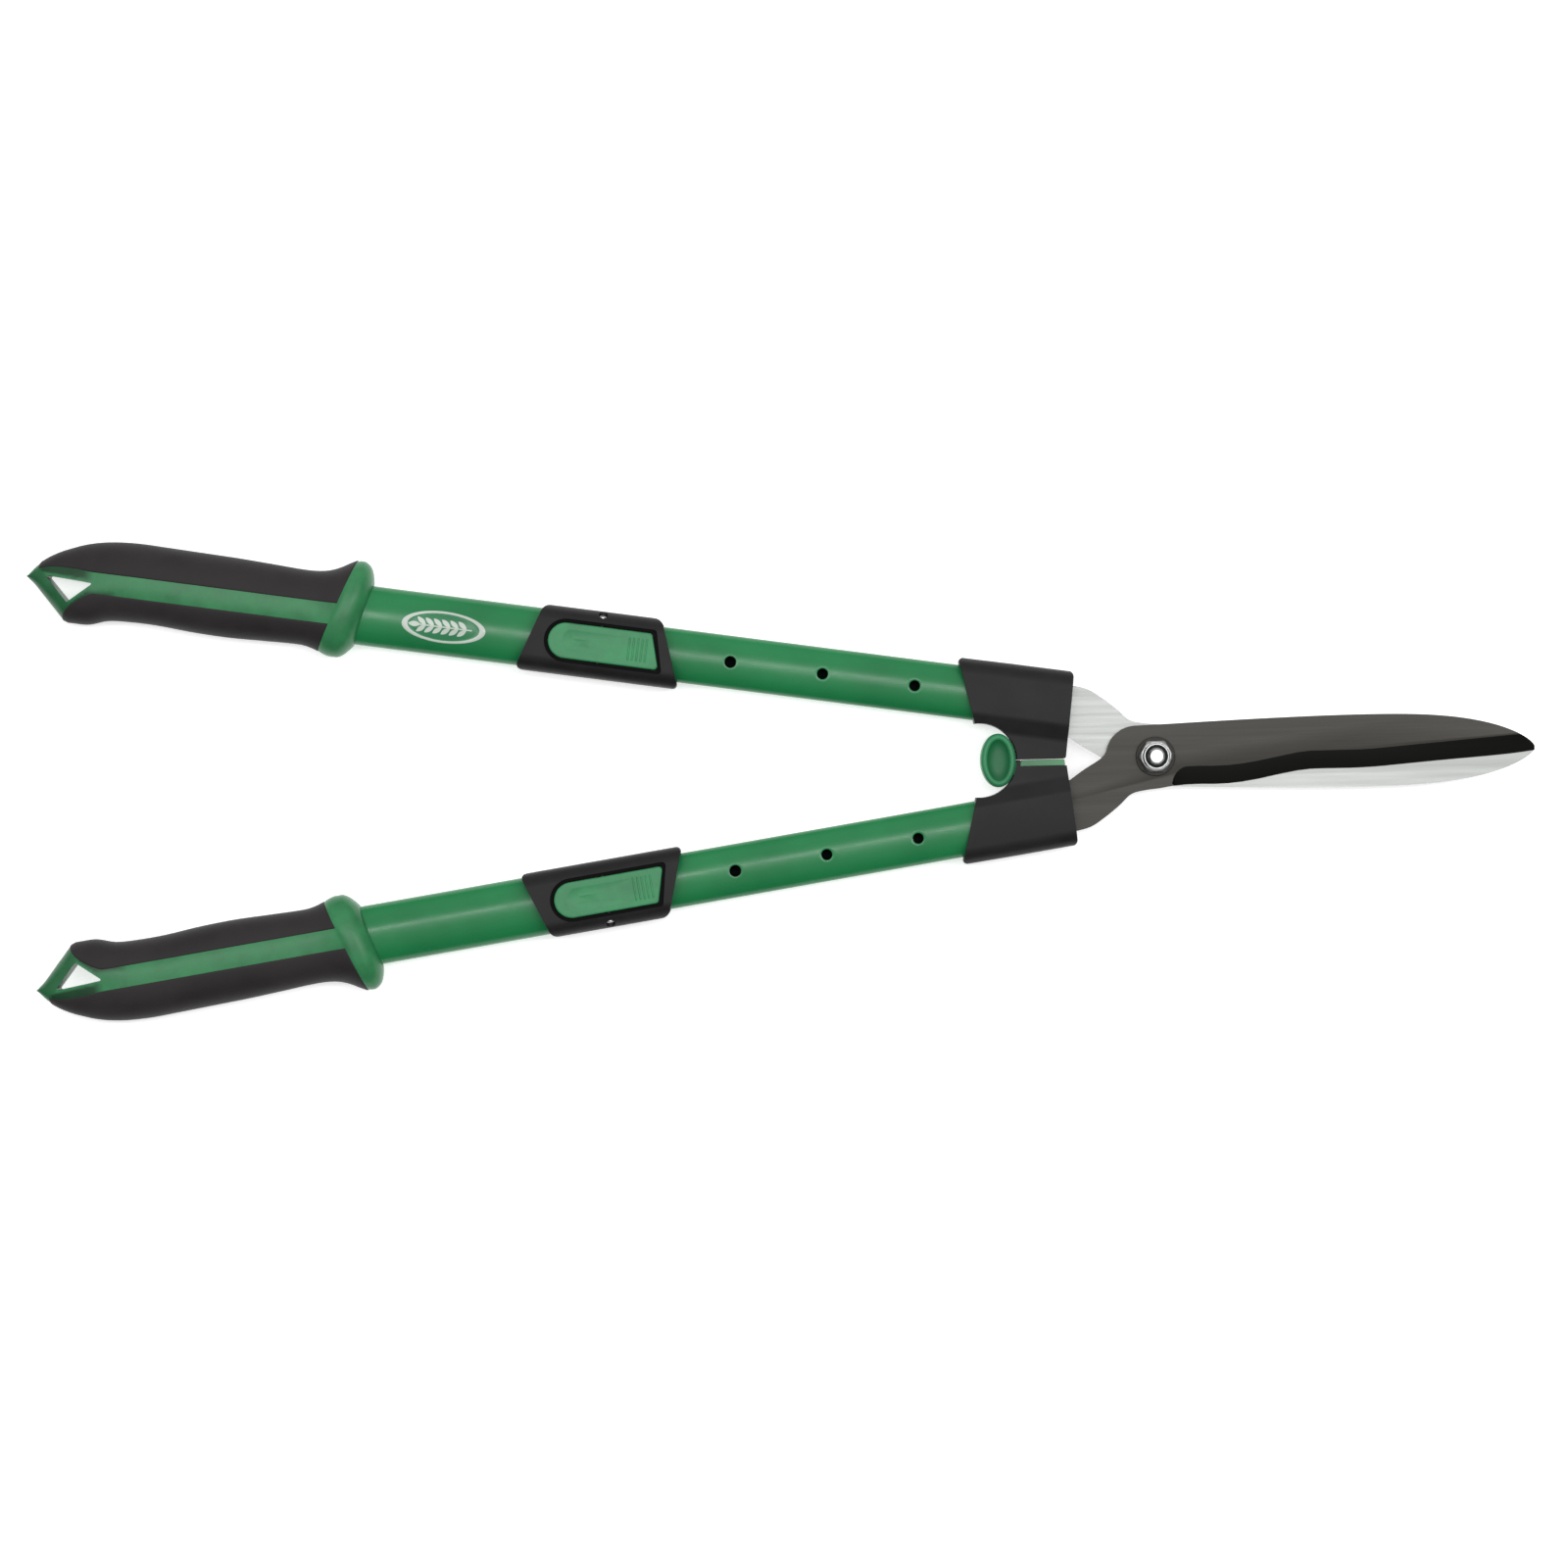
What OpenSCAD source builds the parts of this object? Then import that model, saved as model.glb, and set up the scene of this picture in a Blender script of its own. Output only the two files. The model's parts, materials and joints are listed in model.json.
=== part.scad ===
// Telescopic hedge shears, lying flat and closed.
// +X runs to the blade tips, +Y to the upper handle, +Z away from the surface they lie on.
// The origin is under the middle of the bounding box, on that surface.

/* [Blades] */
// Distance from the pivot to the blade tip
blade_reach = 213; // [200:1:225]
// Thickness of each blade
blade_t = 3.5; // [3:0.1:4]
// Widest half-width of the front blade, from the centre line to the spine
spine_w = 20.8; // [20:0.1:23]
// The same for the rear blade
rear_spine_w = 19.8; // [19:0.1:23]
// Width of the ground bevel along the cutting edge
bevel_w = 10; // [8:0.5:12]
// Height of the wave in the cutting edge
wave_h = 1.8; // [1:0.1:3]

/* [Handles] */
// Angle of each handle to the centre line when the shears are closed
handle_angle = 8.7; // [8:0.1:9.5]
// Length of an inner tube
inner_len = 292; // [280:1:300]
// Length of an outer tube
outer_len = 300; // [290:1:305]
// Distance between two lock holes
hole_pitch = 52; // [50:1:54]
// Diameter of a lock hole
hole_d = 6; // [5.6:0.1:6.4]
// Number of lock holes
hole_count = 4; // [2:1:4]
// Width of the inner tube across the shears
inner_w = 30; // [28:0.5:30]
// Thickness of the inner tube
inner_h = 18; // [17:0.5:18]
// Width of the outer tube across the shears
outer_w = 34; // [34:0.5:35]
// Thickness of the outer tube
outer_h = 22; // [22:0.5:23]
// Wall of both tubes
tube_wall = 1; // [1:0.1:1.2]

/* [Pivot] */
// Diameter of the pivot bolt
bolt_d = 10; // [8:0.5:10]
// Width of the pivot nut across its flats
nut_af = 17; // [16:0.5:18]

/* [Hidden] */

fit = 0.05;              // gap between pieces that are fixed together
slide_fit = 0.15;        // gap around a tube that slides
rest_gap = 0.3;          // gap between the two halves where they stop
mid_z = 18.5;            // height of the blades' meeting plane above the surface

// The handle frame: origin inside the socket, +X towards the grip, +Y away from the other handle.
handle_x = -100;
handle_y = 37.5;

first_hole = 34.5;       // all places below that are not in the blade's frame run along the handle
last_hole = first_hole + (hole_count - 1) * hole_pitch;
inner_start = -30;
inner_end = inner_start + inner_len;
outer_start = 180;
outer_end = outer_start + outer_len;

socket_h = 26;           // thickness of a socket
web_h = 19;              // thickness of its inner web, which meets the other socket
notch_x = -98.5;         // centre of the round notch between the sockets
notch_r = 20.8;
pad_lip = 3.8;           // thickness of the stop pad's lip between the sockets
pad_depth = 9.9;         // depth of its foot, which is inside the lower socket
pad_foot_h = 13;         // height of its foot
pad_x = [-76, -51.3];    // the stop pad's ends

collar_top = 18.5;       // top of a lock collar above the tube's centre
collar_bottom = -13.5;
collar_half_w = 19;
button_x = 212;          // the button rocks about a pin here
button_z = 15;
button_half_w = 10;
button_end = 241;
button_top = 18.8;
button_under = 15.5;
button_gap = 0.6;        // gap round the button in the collar
button_pin_d = 3;
tooth_d = 4.8;
tooth_x = last_hole - 0.4;   // it swings to the hole's centre as it goes in
pin_head_d = 4.6;
pin_head_v = 14.7;       // the pin's head starts here, in a recess in the collar's outer shoulder
pin_end_v = -13.5;
spring_x = 231;
spring_r = 2.6;
spring_wire = 0.7;

grip_tip = 536;          // end of the grip along the handle
eye = [[525, -0.4], [497, -1.6], [510.9, -14.1]];     // corners of the hanging eye
stripe = [-7.6, 4.2];    // the core shows between the pads here
guard_line = 361.5;      // the pads end on a slanting line through this place
guard_slant = -0.3;

tip_x = blade_reach;
tail_x = handle_x - grip_tip * cos(handle_angle);
pivot_x = -(tip_x + tail_x) / 2;

/* ---- Curves ---- */

// Points of an arc.
function arc(c, r, a0, a1, n = 12) = [for (i = [0:n])
    let (a = a0 + (a1 - a0) * i / n) c + r * [cos(a), sin(a)]];

// A rounded oval, flatter than an ellipse on its long sides.
function oval(w, h, n = 64, p = 2.3) = [for (i = [0:n - 1]) let (a = 360 * i / n)
    [w / 2 * sign(cos(a)) * pow(abs(cos(a)), 2 / p), h / 2 * sign(sin(a)) * pow(abs(sin(a)), 2 / p)]];

// The points that round off the corner p, on the way from a to b.
function corner(a, p, b, r, n = 6) = let (da = (a - p) / norm(a - p), db = (b - p) / norm(b - p),
        half = acos(da * db) / 2, c = p + (da + db) / norm(da + db) * r / sin(half),
        fa = p + da * r / tan(half) - c, fb = p + db * r / tan(half) - c,
        turn = atan2(fa.x * fb.y - fa.y * fb.x, fa * fb), start = atan2(fa.y, fa.x))
    [for (k = [0:n]) c + r * [cos(start + turn * k / n), sin(start + turn * k / n)]];

// A polygon whose corners are rounded, each by its own radius.
function rounded(pts, radii, n = 6) = [for (i = [0:len(pts) - 1])
    each corner(pts[(i + len(pts) - 1) % len(pts)], pts[i], pts[(i + 1) % len(pts)], radii[i], n)];

// A smooth curve through points, with n steps between each two.
function smooth(pts, n = 5) = [for (i = [0:len(pts) - 2], k = [0:(i == len(pts) - 2 ? n : n - 1)])
    let (p0 = pts[max(i - 1, 0)], p1 = pts[i], p2 = pts[i + 1], p3 = pts[min(i + 2, len(pts) - 1)], t = k / n)
    0.5 * (2 * p1 + (p2 - p0) * t + (2 * p0 - 5 * p1 + 4 * p2 - p3) * t * t
        + (3 * p1 - p0 - 3 * p2 + p3) * t * t * t)];

function reversed(list) = [for (i = [len(list) - 1:-1:0]) list[i]];
function flipped(pts) = [for (p = pts) [p.x, -p.y]];

// A closed solid through rings of points, each ring with the same number of them.
module loft(rings) {
    m = len(rings[0]);
    last = len(rings) - 1;
    polyhedron(points = [for (r = rings, p = r) p], faces = concat(
        [[for (k = [0:m - 1]) k]],
        [for (i = [0:last - 1], k = [0:m - 1]) let (a = i * m + k, b = i * m + (k + 1) % m)
            each [[a, b + m, b], [a, a + m, b + m]]],
        [[for (k = [m - 1:-1:0]) last * m + k]]), convexity = 6);
}

/* ---- Placing ---- */

// The shears' own frame, with the pivot at its origin.
module shears() translate([pivot_x, 0, mid_z]) children();

// The lower handle's frame, and the upper one's, its mirror image.
module lower_handle() shears() translate([handle_x, -handle_y, 0])
    rotate([0, 0, 180 + handle_angle]) children();
module upper_handle() shears() mirror([0, 1, 0]) translate([handle_x, -handle_y, 0])
    rotate([0, 0, 180 + handle_angle]) children();

// A point of the handle frame in the shears' frame, on the upper side.
function from_handle(u, v) = [handle_x - u * cos(handle_angle) + v * sin(handle_angle),
    handle_y + u * sin(handle_angle) + v * cos(handle_angle)];

// An outline in the handle's cross-section, drawn out between two places along it.
module along(u0, u1) translate([u0, 0, 0]) rotate([90, 0, 90]) linear_extrude(u1 - u0) children();
module tube(u0, u1, w, h, wall) along(u0, u1) difference() {
    polygon(oval(w, h));
    polygon(oval(w - 2 * wall, h - 2 * wall));
}

/* ---- Blades ---- */

// Distances from the centre line to the spine and to the waved edge of the rear blade, whose edge is on +Y.
function spine_y(x, w) = x < 110 ? -w + 3.5 * pow((110 - x) / 120, 1.5)
    : -0.7 - (w - 0.7) * pow(max(0, 1 - pow((x - 110) / (tip_x - 110), 3.05)), 0.7);
function wave(x) = x < 21 ? 0 : wave_h * sin(4 * (x - 66)) * (x < 85 ? 1 : exp((85 - x) / 30));
function edge_y(x) = let (t = (x - 8) / (tip_x - 8))
    16.9 - 13.8 * t - 0.9 * sin(180 * t) - 1.6 * pow(t, 12) - wave(x);

heel_x = 9;              // the bevel starts here
run_in = 9;              // and reaches its full width this much further on
blade_xs = [for (i = [0:40]) heel_x + (tip_x - heel_x) * sin(90 * i / 40)];
tang_out = smooth([[2, 18], [-7, 19], [-14.2, 21], [-21, 27.2], [-29, 33.5], [-37, 38.6], [-46, 41]]);
tang_in = smooth([[-27.4, -3.4], [-29.2, -0.6], [-33, 2.2], [-40, 6.4], [-48, 12]]);
tang_inside = [from_handle(-30, 11.2), from_handle(-6, 11.2), from_handle(-6, -11.2),
    from_handle(-34, -11.2)];
function blade_outline(w) = concat(
    [for (x = blade_xs) [x, edge_y(x)]],
    [for (x = reversed(blade_xs)) [x, spine_y(x, w)]],
    arc([-10.5, -w + 20.3], 17, 270, 180 + asin((23.7 - w) / 17)),
    tang_in, reversed(tang_inside), reversed(tang_out));

// The space that the bevel takes off a blade's outer face. It runs out over the spine at the tip.
module bevel_cut() {
    depth = blade_t - 0.5;
    over = 0.4;
    function width(x) = bevel_w * sqrt(1 - pow(1 - min(1, max(0.02, (x - heel_x) / run_in)), 2));
    loft([for (x = concat([for (i = [0:6]) heel_x + 0.01 + i * i * run_in / 49],
            [for (i = [1:39]) blade_xs[i]], [tip_x + 4]))
        let (e = edge_y(min(x, tip_x)), slope = depth / width(x), y0 = e - width(x) - over / slope)
        [[x, y0, -blade_t - 6], [x, e + 3, -blade_t - 6],
         [x, e + 3, -blade_t + depth + 3 * slope], [x, y0, -blade_t - over]]]);
}

module blade_plate(w) difference() {
    translate([0, 0, -blade_t - fit]) linear_extrude(blade_t) polygon(blade_outline(w));
    bevel_cut();
    for (u = rivet_us) rivet_hole(u, 60);
}

rivet_us = [-24, -12];
rivet_d = 5;
module rivet_hole(u, h) translate(concat(from_handle(u, 0), -h / 2))
    cylinder(h = h, d = rivet_d + 2 * fit, $fn = 32);

module rear_blade() color("gainsboro") shears() difference() {
    blade_plate(rear_spine_w);
    translate([-bolt_d / 2 - fit, -bolt_d / 2 - fit, -30]) cube([bolt_d + 2 * fit, bolt_d + 2 * fit, 60]);
}

module front_blade() color("dimgray") shears() rotate([180, 0, 0]) difference() {
    blade_plate(spine_w);
    translate([0, 0, -30]) cylinder(h = 60, d = bolt_d + 2 * fit, $fn = 64);
}

/* ---- Pivot ---- */

washer_d = 22;
washer_t = 1.6;
washer_z = blade_t + 2 * fit;
nut_z = washer_z + washer_t + fit;
nut_h = 6;
collar_h = 2.6;          // round top of the lock nut, which holds its nylon ring
bolt_end = nut_z + nut_h + collar_h + 1.2;

module pivot_bolt() color("silver") shears() {
    head_r = 12;
    translate([0, 0, -blade_t - 2 * fit]) mirror([0, 0, 1]) rotate_extrude($fn = 64)
        polygon(concat([[0, 0], [head_r, 0], [head_r, 1.2]], arc([0, -12.6], 17.8, 50, 90)));
    translate([-bolt_d / 2, -bolt_d / 2, -blade_t - 3 * fit]) cube([bolt_d, bolt_d, blade_t]);
    translate([0, 0, -1]) cylinder(h = bolt_end + 1 - 5, d = bolt_d, $fn = 64);
    thread = 0.75;
    translate([0, 0, bolt_end - 5.2]) rotate_extrude($fn = 64) polygon(concat([[0, 0]],
        [for (i = [0:2]) each [[bolt_d / 2 - 0.05, 1.5 * i], [bolt_d / 2 - 0.6, 1.5 * i + thread]]],
        [[bolt_d / 2 - 0.05, 3.8], [bolt_d / 2 - 1.4, 5.2], [0, 5.2]]));
}

module pivot_washer() color("black") shears() translate([0, 0, washer_z]) difference() {
    cylinder(h = washer_t, d = washer_d, $fn = 64);
    translate([0, 0, -1]) cylinder(h = washer_t + 2, d = bolt_d + 4 * fit, $fn = 64);
}

module pivot_nut() color("silver") shears() translate([0, 0, nut_z]) difference() {
    union() {
        intersection() {
            cylinder(h = nut_h, d = nut_af / cos(30), $fn = 6);
            rotate_extrude($fn = 64) polygon([[0, 0], [nut_af / 2 - 0.2, 0], [nut_af / 2 + 1, 0.9],
                [nut_af / 2 + 1, nut_h - 0.9], [nut_af / 2 - 0.3, nut_h], [0, nut_h]]);
        }
        rotate_extrude($fn = 64) polygon([[0, 1], [7.6, 1], [7.6, nut_h + collar_h - 0.8],
            [7, nut_h + collar_h], [0, nut_h + collar_h]]);
    }
    translate([0, 0, -1]) cylinder(h = 20, d = bolt_d + 2 * fit, $fn = 64);
    translate([0, 0, nut_h]) cylinder(h = 10, r = 6.4, $fn = 64);
}

module nut_nylon_ring() color("midnightblue") shears() translate([0, 0, nut_z + nut_h + fit]) difference() {
    cylinder(h = collar_h - 0.9, r = 6.4 - fit, $fn = 64);
    translate([0, 0, -1]) cylinder(h = 6, d = bolt_d + 2 * fit, $fn = 64);
}

/* ---- Sockets and bumper ---- */

// A socket seen from above, on the upper side: from its parting face round to the notch.
function socket_outline(face) = concat(
    rounded([[-50.5, face], [-44.7, 48.9], from_handle(12.5, 19), from_handle(-1, -15.4), [-96.6, face]],
        [1.5, 3.5, 2, 3, 0.3]));

// Its cross-section: a sleeve round the tube, and a thinner web towards the other socket.
socket_section = concat(
    rounded([[-48, -web_h / 2], [-20, -web_h / 2], [-11, -socket_h / 2], [19.3, -socket_h / 2],
        [19.3, socket_h / 2], [-11, socket_h / 2], [-20, web_h / 2], [-48, web_h / 2]],
        [1, 8, 8, 9, 9, 8, 8, 1]));

// The upper socket's body, in the shears' frame.
module socket_body(face, tang_z) difference() {
    intersection() {
        translate([0, 0, -20]) linear_extrude(40) difference() {
            polygon(socket_outline(face));
            translate([notch_x, 0]) circle(notch_r, $fn = 64);
        }
        socket_frame() along(-70, 30) polygon(socket_section);
    }
    socket_frame() {
        tube(inner_start - fit, 30, inner_w + 2 * fit, inner_h + 2 * fit, tube_wall + 2 * fit);
        along(-2, 30) polygon(oval(inner_w, inner_h));
    }
    translate([0, 0, tang_z - fit]) linear_extrude(blade_t + 2 * fit) offset(delta = fit)
        polygon(blade_outline(spine_w));
    for (u = rivet_us) {
        rivet_hole(u, inner_h);
        for (side = [0, 1]) mirror([0, 0, side]) translate(concat(from_handle(u, 0), inner_h / 2 - 1))
            cylinder(h = rivet_top + fit - inner_h / 2 + 1, d = 9.4, $fn = 32);
    }
}

module socket_frame() mirror([0, 1, 0]) translate([handle_x, -handle_y, 0])
    rotate([0, 0, 180 + handle_angle]) children();

rivet_top = inner_h / 2 + 1.4;

module upper_socket() color([0.16, 0.16, 0.17]) shears() socket_body(0, -blade_t - fit);

module lower_socket() color([0.16, 0.16, 0.17]) shears() rotate([180, 0, 0]) difference() {
    socket_body(rest_gap, -blade_t - fit);
    translate([pad_x[0] - fit, -5, -20]) cube([40, pad_lip + 5 + fit, 40]);
    translate([0, 0, -pad_foot_h / 2 - fit]) linear_extrude(pad_foot_h + 2 * fit)
        offset(delta = fit) pad_foot();
    translate([0, 0, -bumper_h / 2 + 3]) linear_extrude(bumper_h - 6) offset(delta = fit) bumper_stem();
}

// The stop pad's dovetail foot, and the bumper's stem, in the lower socket seen from below.
module pad_foot() polygon([[-70, pad_lip - 1], [-57, pad_lip - 1], [-55, pad_depth],
    [-72, pad_depth]]);
module bumper_stem() polygon([[-82, 1.5], [-76 - 2 * fit, 1.5], [-76 - 2 * fit, 8.5],
    [-82, 8.5]]);

module stop_pad() color("seagreen") shears() rotate([180, 0, 0]) {
    translate([0, 0, -web_h / 2 + 0.2]) linear_extrude(web_h - 0.4)
        polygon(rounded([[pad_x[0], rest_gap], [pad_x[1], rest_gap], [pad_x[1] + 0.4, pad_lip],
            [pad_x[0], pad_lip]], [2.2, 0.8, 0.3, 0.3]));
    translate([0, 0, -pad_foot_h / 2]) linear_extrude(pad_foot_h) pad_foot();
}

bumper_h = 20;
bumper_w = 19.6;
bumper_l = 30;
module shock_bumper() color("seagreen") shears() rotate([180, 0, 0]) {
    centre = [-88.2, 0.2];
    rim = 4.4;
    difference() {
        hull() for (z = [[bumper_h / 2, 2], [bumper_h / 2 - 2, 0]]) translate([0, 0, -z[0]])
            linear_extrude(2 * z[0]) translate(centre)
                polygon(oval(bumper_w - 2 * z[1], bumper_l - 2 * z[1], 40, 2));
        for (side = [0, 1]) mirror([0, 0, side]) translate([0, 0, bumper_h / 2 - 1.6]) linear_extrude(5)
            translate(centre) polygon(oval(bumper_w - 2 * rim, bumper_l - 2 * rim, 40, 2));
    }
    translate([0, 0, -bumper_h / 2 + 3 + fit]) linear_extrude(bumper_h - 6 - 2 * fit) bumper_stem();
}

/* ---- Tubes ---- */

module inner_tube() difference() {
    tube(inner_start, inner_end, inner_w, inner_h, tube_wall);
    for (i = [0:hole_count - 1]) translate([first_hole + i * hole_pitch, 0, 0])
        cylinder(h = inner_h, d = hole_d, $fn = 48);
    for (u = rivet_us) translate([u, 0, -inner_h]) cylinder(h = 2 * inner_h, d = rivet_d + 2 * fit, $fn = 32);
}

module tang_rivets() for (u = rivet_us) translate([u, 0, 0]) {
    cylinder(h = inner_h + 1, d = rivet_d, center = true, $fn = 32);
    for (side = [0, 1]) mirror([0, 0, side]) translate([0, 0, inner_h / 2 + fit])
        cylinder(h = rivet_top - inner_h / 2 - fit, d1 = 9, d2 = 7, $fn = 32);
}

module tube_bush() {
    bore_w = outer_w - 2 * tube_wall - 2 * slide_fit;
    bore_h = outer_h - 2 * tube_wall - 2 * slide_fit;
    difference() {
        union() {
            along(inner_end + fit, inner_end + 6) polygon(oval(bore_w, bore_h));
            along(inner_end - 12, inner_end + 1) polygon(
                oval(inner_w - 2 * tube_wall - 2 * fit, inner_h - 2 * tube_wall - 2 * fit));
        }
        along(inner_end - 20, inner_end + 10) polygon(oval(inner_w - 8, inner_h - 7));
    }
}

module outer_tube() difference() {
    tube(outer_start, outer_end, outer_w, outer_h, tube_wall);
    translate([last_hole, 0, 0]) cylinder(h = outer_h, d = 8.4, $fn = 48);
    translate([collar_screw_x, 0, -outer_h]) cylinder(h = outer_h, d = screw_d + 2 * fit, $fn = 32);
    translate([grip_screw_x, 0, -outer_h]) cylinder(h = outer_h, d = screw_d + 2 * fit, $fn = 32);
}

/* ---- Lock collar and button ---- */

screw_d = 4;
screw_head_d = 7;
screw_head_h = 1.1;
collar_screw_x = 238;
grip_screw_x = 470;
grip_screw_z = 14;       // its head starts this far below the tube's centre
collar_outline = rounded([[245.5, collar_half_w], [179.5, collar_half_w], [165.7, -collar_half_w],
    [257.5, -collar_half_w]], [5, 6, 2.5, 2.5]);
collar_section = rounded([[-collar_half_w, collar_bottom], [collar_half_w, collar_bottom],
    [collar_half_w, collar_top], [-collar_half_w, collar_top]], [10, 10, 9, 9], 8);

// The button seen from above: round at the grip's end, slanted at the blades' end.
function button_outline(grow) = let (w = button_half_w + grow, c = [button_end - button_half_w, 0],
        far = [183.6 - grow, w], near = [177.8 - grow, -w])
    concat(arc(c, w, -90, 90, 24), corner(c + [0, w], far, near, 2), corner(far, near, c - [0, w], 2));

module lock_collar() difference() {
    intersection() {
        translate([0, 0, -20]) linear_extrude(40) polygon(collar_outline);
        along(160, 265) polygon(collar_section);
    }
    along(outer_start - fit, 270) polygon(oval(outer_w + 2 * fit, outer_h + 2 * fit));
    along(150, outer_start + 0.5) polygon(oval(inner_w + 2 * slide_fit, inner_h + 2 * slide_fit));
    translate([0, 0, 12.4]) linear_extrude(10) polygon(button_outline(button_gap));
    translate([0, 0, 16.9]) linear_extrude(10) polygon(button_outline(2.2));
    button_pin_axis() translate([0, 0, pin_head_v - fit]) cylinder(h = 10, d = pin_head_d + 0.4, $fn = 48);
    translate([last_hole, 0, 5]) cylinder(h = 10, d = 8.4, $fn = 48);
    translate([spring_x, 0, 5]) cylinder(h = 10, d = 7, $fn = 32);
    button_pin_axis() {
        cylinder(h = 2 * button_half_w + 0.6, r = 3.3, center = true, $fn = 48);
        translate([0, 0, pin_end_v - fit]) cylinder(h = 40, d = button_pin_d + 2 * fit, $fn = 48);
    }
    translate([collar_screw_x, 0, collar_bottom - 5]) cylinder(h = 10, d = screw_d + 2 * fit, $fn = 32);
    translate([collar_screw_x, 0, collar_bottom - 5])
        cylinder(h = 5 + screw_head_h + 0.1, d = screw_head_d + 0.4, $fn = 48);
}

module small_screw(length) difference() {
    union() {
        cylinder(h = screw_head_h, d = screw_head_d, $fn = 48);
        cylinder(h = length, d = screw_d, $fn = 32);
    }
    for (a = [0, 90]) rotate([0, 0, a]) translate([-2, -0.5, -1]) cube([4, 1, 1.8]);
}

module collar_screw() translate([collar_screw_x, 0, collar_bottom])
    small_screw(-collar_bottom - outer_h / 2 + 1);

// +Z runs along the button's pin, away from the other handle.
module button_pin_axis() translate([button_x, 0, button_z]) rotate([-90, 0, 0]) children();

first_rib = 185.4;
rib_pitch = 2.4;
rib_w = 1;
rib_count = 5;

module button() {
    difference() {
        union() {
            translate([0, 0, button_under]) linear_extrude(button_top - button_under - 0.6)
                polygon(button_outline(0));
            translate([0, 0, button_under + 1]) linear_extrude(button_top - button_under - 1)
                polygon(button_outline(-0.6));
            for (i = [0:rib_count - 1])
                translate([first_rib + rib_pitch * i, -button_half_w + 3.5, button_top - 0.1])
                    cube([rib_w, 2 * button_half_w - 7, 0.5]);
            button_pin_axis() cylinder(h = 2 * button_half_w - 1, r = 2.8, center = true, $fn = 48);
        }
        button_pin_axis() cylinder(h = 60, d = button_pin_d + 2 * fit, center = true, $fn = 48);
        translate([226, 0, button_top + 29.1]) sphere(r = 30, $fn = 96);
        translate([spring_x, 0, button_under - 1]) cylinder(h = 2.4, d = 6.6, $fn = 32);
        translate([tooth_x, 0, button_under - 1]) cylinder(h = 2.6, d = tooth_d - 1, $fn = 32);
    }
}

// The tooth stands just clear of the inner tube while the button is held down.
module lock_tooth() translate([tooth_x, 0, 0]) {
    tip = inner_h / 2 + 0.25;
    translate([0, 0, tip + 0.8]) cylinder(h = button_under - tip - 0.8 - fit, d = tooth_d, $fn = 48);
    translate([0, 0, tip]) cylinder(h = 0.81, d1 = tooth_d - 1.2, d2 = tooth_d, $fn = 48);
    translate([0, 0, button_under - 1]) cylinder(h = 2.5, d = tooth_d - 1 - 2 * fit, $fn = 32);
}

module button_pin() button_pin_axis() {
    translate([0, 0, pin_end_v]) cylinder(h = pin_head_v - pin_end_v + 0.5, d = button_pin_d, $fn = 48);
    translate([0, 0, pin_head_v]) rotate_extrude($fn = 48)
        polygon([[0, 0], [pin_head_d / 2, 0], [pin_head_d / 2, 0.9], [pin_head_d / 2 - 0.6, 1.4], [0, 1.5]]);
}

// A coil spring, drawn as a ring of points swept along a helix.
module button_spring() {
    turns = 4;
    steps = 14;
    sides = 6;
    low = outer_h / 2 + spring_wire / 2 + 0.1;
    high = button_under + 1.4 - spring_wire / 2 - 0.1;
    loft([for (i = [0:turns * steps]) let (a = 360 * i / steps, z = low + (high - low) * i / (turns * steps))
        [for (k = [0:sides - 1]) let (b = 360 * k / sides, r = spring_r + spring_wire / 2 * cos(b))
            [spring_x + r * cos(a), r * sin(a), z - spring_wire / 2 * sin(b)]]]);
}

/* ---- Grip ---- */

// Stations along the grip: place, palm side, finger side, half thickness, slant of the ring.
grip_stations = [
    [346, 18.4, -18.0, 12.6, -0.20], [347.5, 22.6, -20.5, 15.0, -0.20], [350, 27.2, -23.4, 17.2, -0.19],
    [353.5, 30.0, -25.3, 18.4, -0.17], [357.5, 30.3, -25.5, 18.5, -0.16], [361, 28.3, -24.9, 18.0, -0.15],
    [366, 24.6, -23.4, 17.1, -0.12], [372, 22.2, -21.8, 16.3, -0.08], [380, 21.4, -20.9, 15.9, 0],
    [400, 22.2, -21.5, 16.0, 0], [420, 23.0, -22.2, 16.3, 0], [440, 23.4, -21.8, 16.4, 0],
    [460, 23.8, -20.6, 16.3, 0], [475, 24.0, -20.6, 16.0, 0], [488, 23.2, -21.6, 15.5, 0],
    [498, 21.6, -24.9, 14.6, 0], [506, 19.4, -25.3, 13.8, 0], [512, 17.0, -24.7, 13.0, 0],
    [519, 13.8, -18.4, 11.8, 0], [526, 9.4, -11.6, 10.2, 0], [531, 4.8, -6.8, 8.4, 0],
    [534.5, 0.1, -4.1, 6.4, 0], [grip_tip, -1.8, -2.8, 4.5, 0]];

function shrunk(half, skin) = max(half - skin, 0.4 * half);
function grip_ring(s, skin, sides = 28) = [for (k = [0:sides - 1])
    let (a = 360 * k / sides, w = shrunk((s[1] - s[2]) / 2, skin), h = shrunk(s[3], skin * 0.75),
        v = (s[1] + s[2]) / 2 + w * sign(cos(a)) * pow(abs(cos(a)), 0.84))
    [s[0] + s[4] * v, v, h * sign(sin(a)) * pow(abs(sin(a)), 0.84)]];

module grip_form(skin = 0) loft([for (s = grip_stations) grip_ring(s, skin)]);

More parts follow.
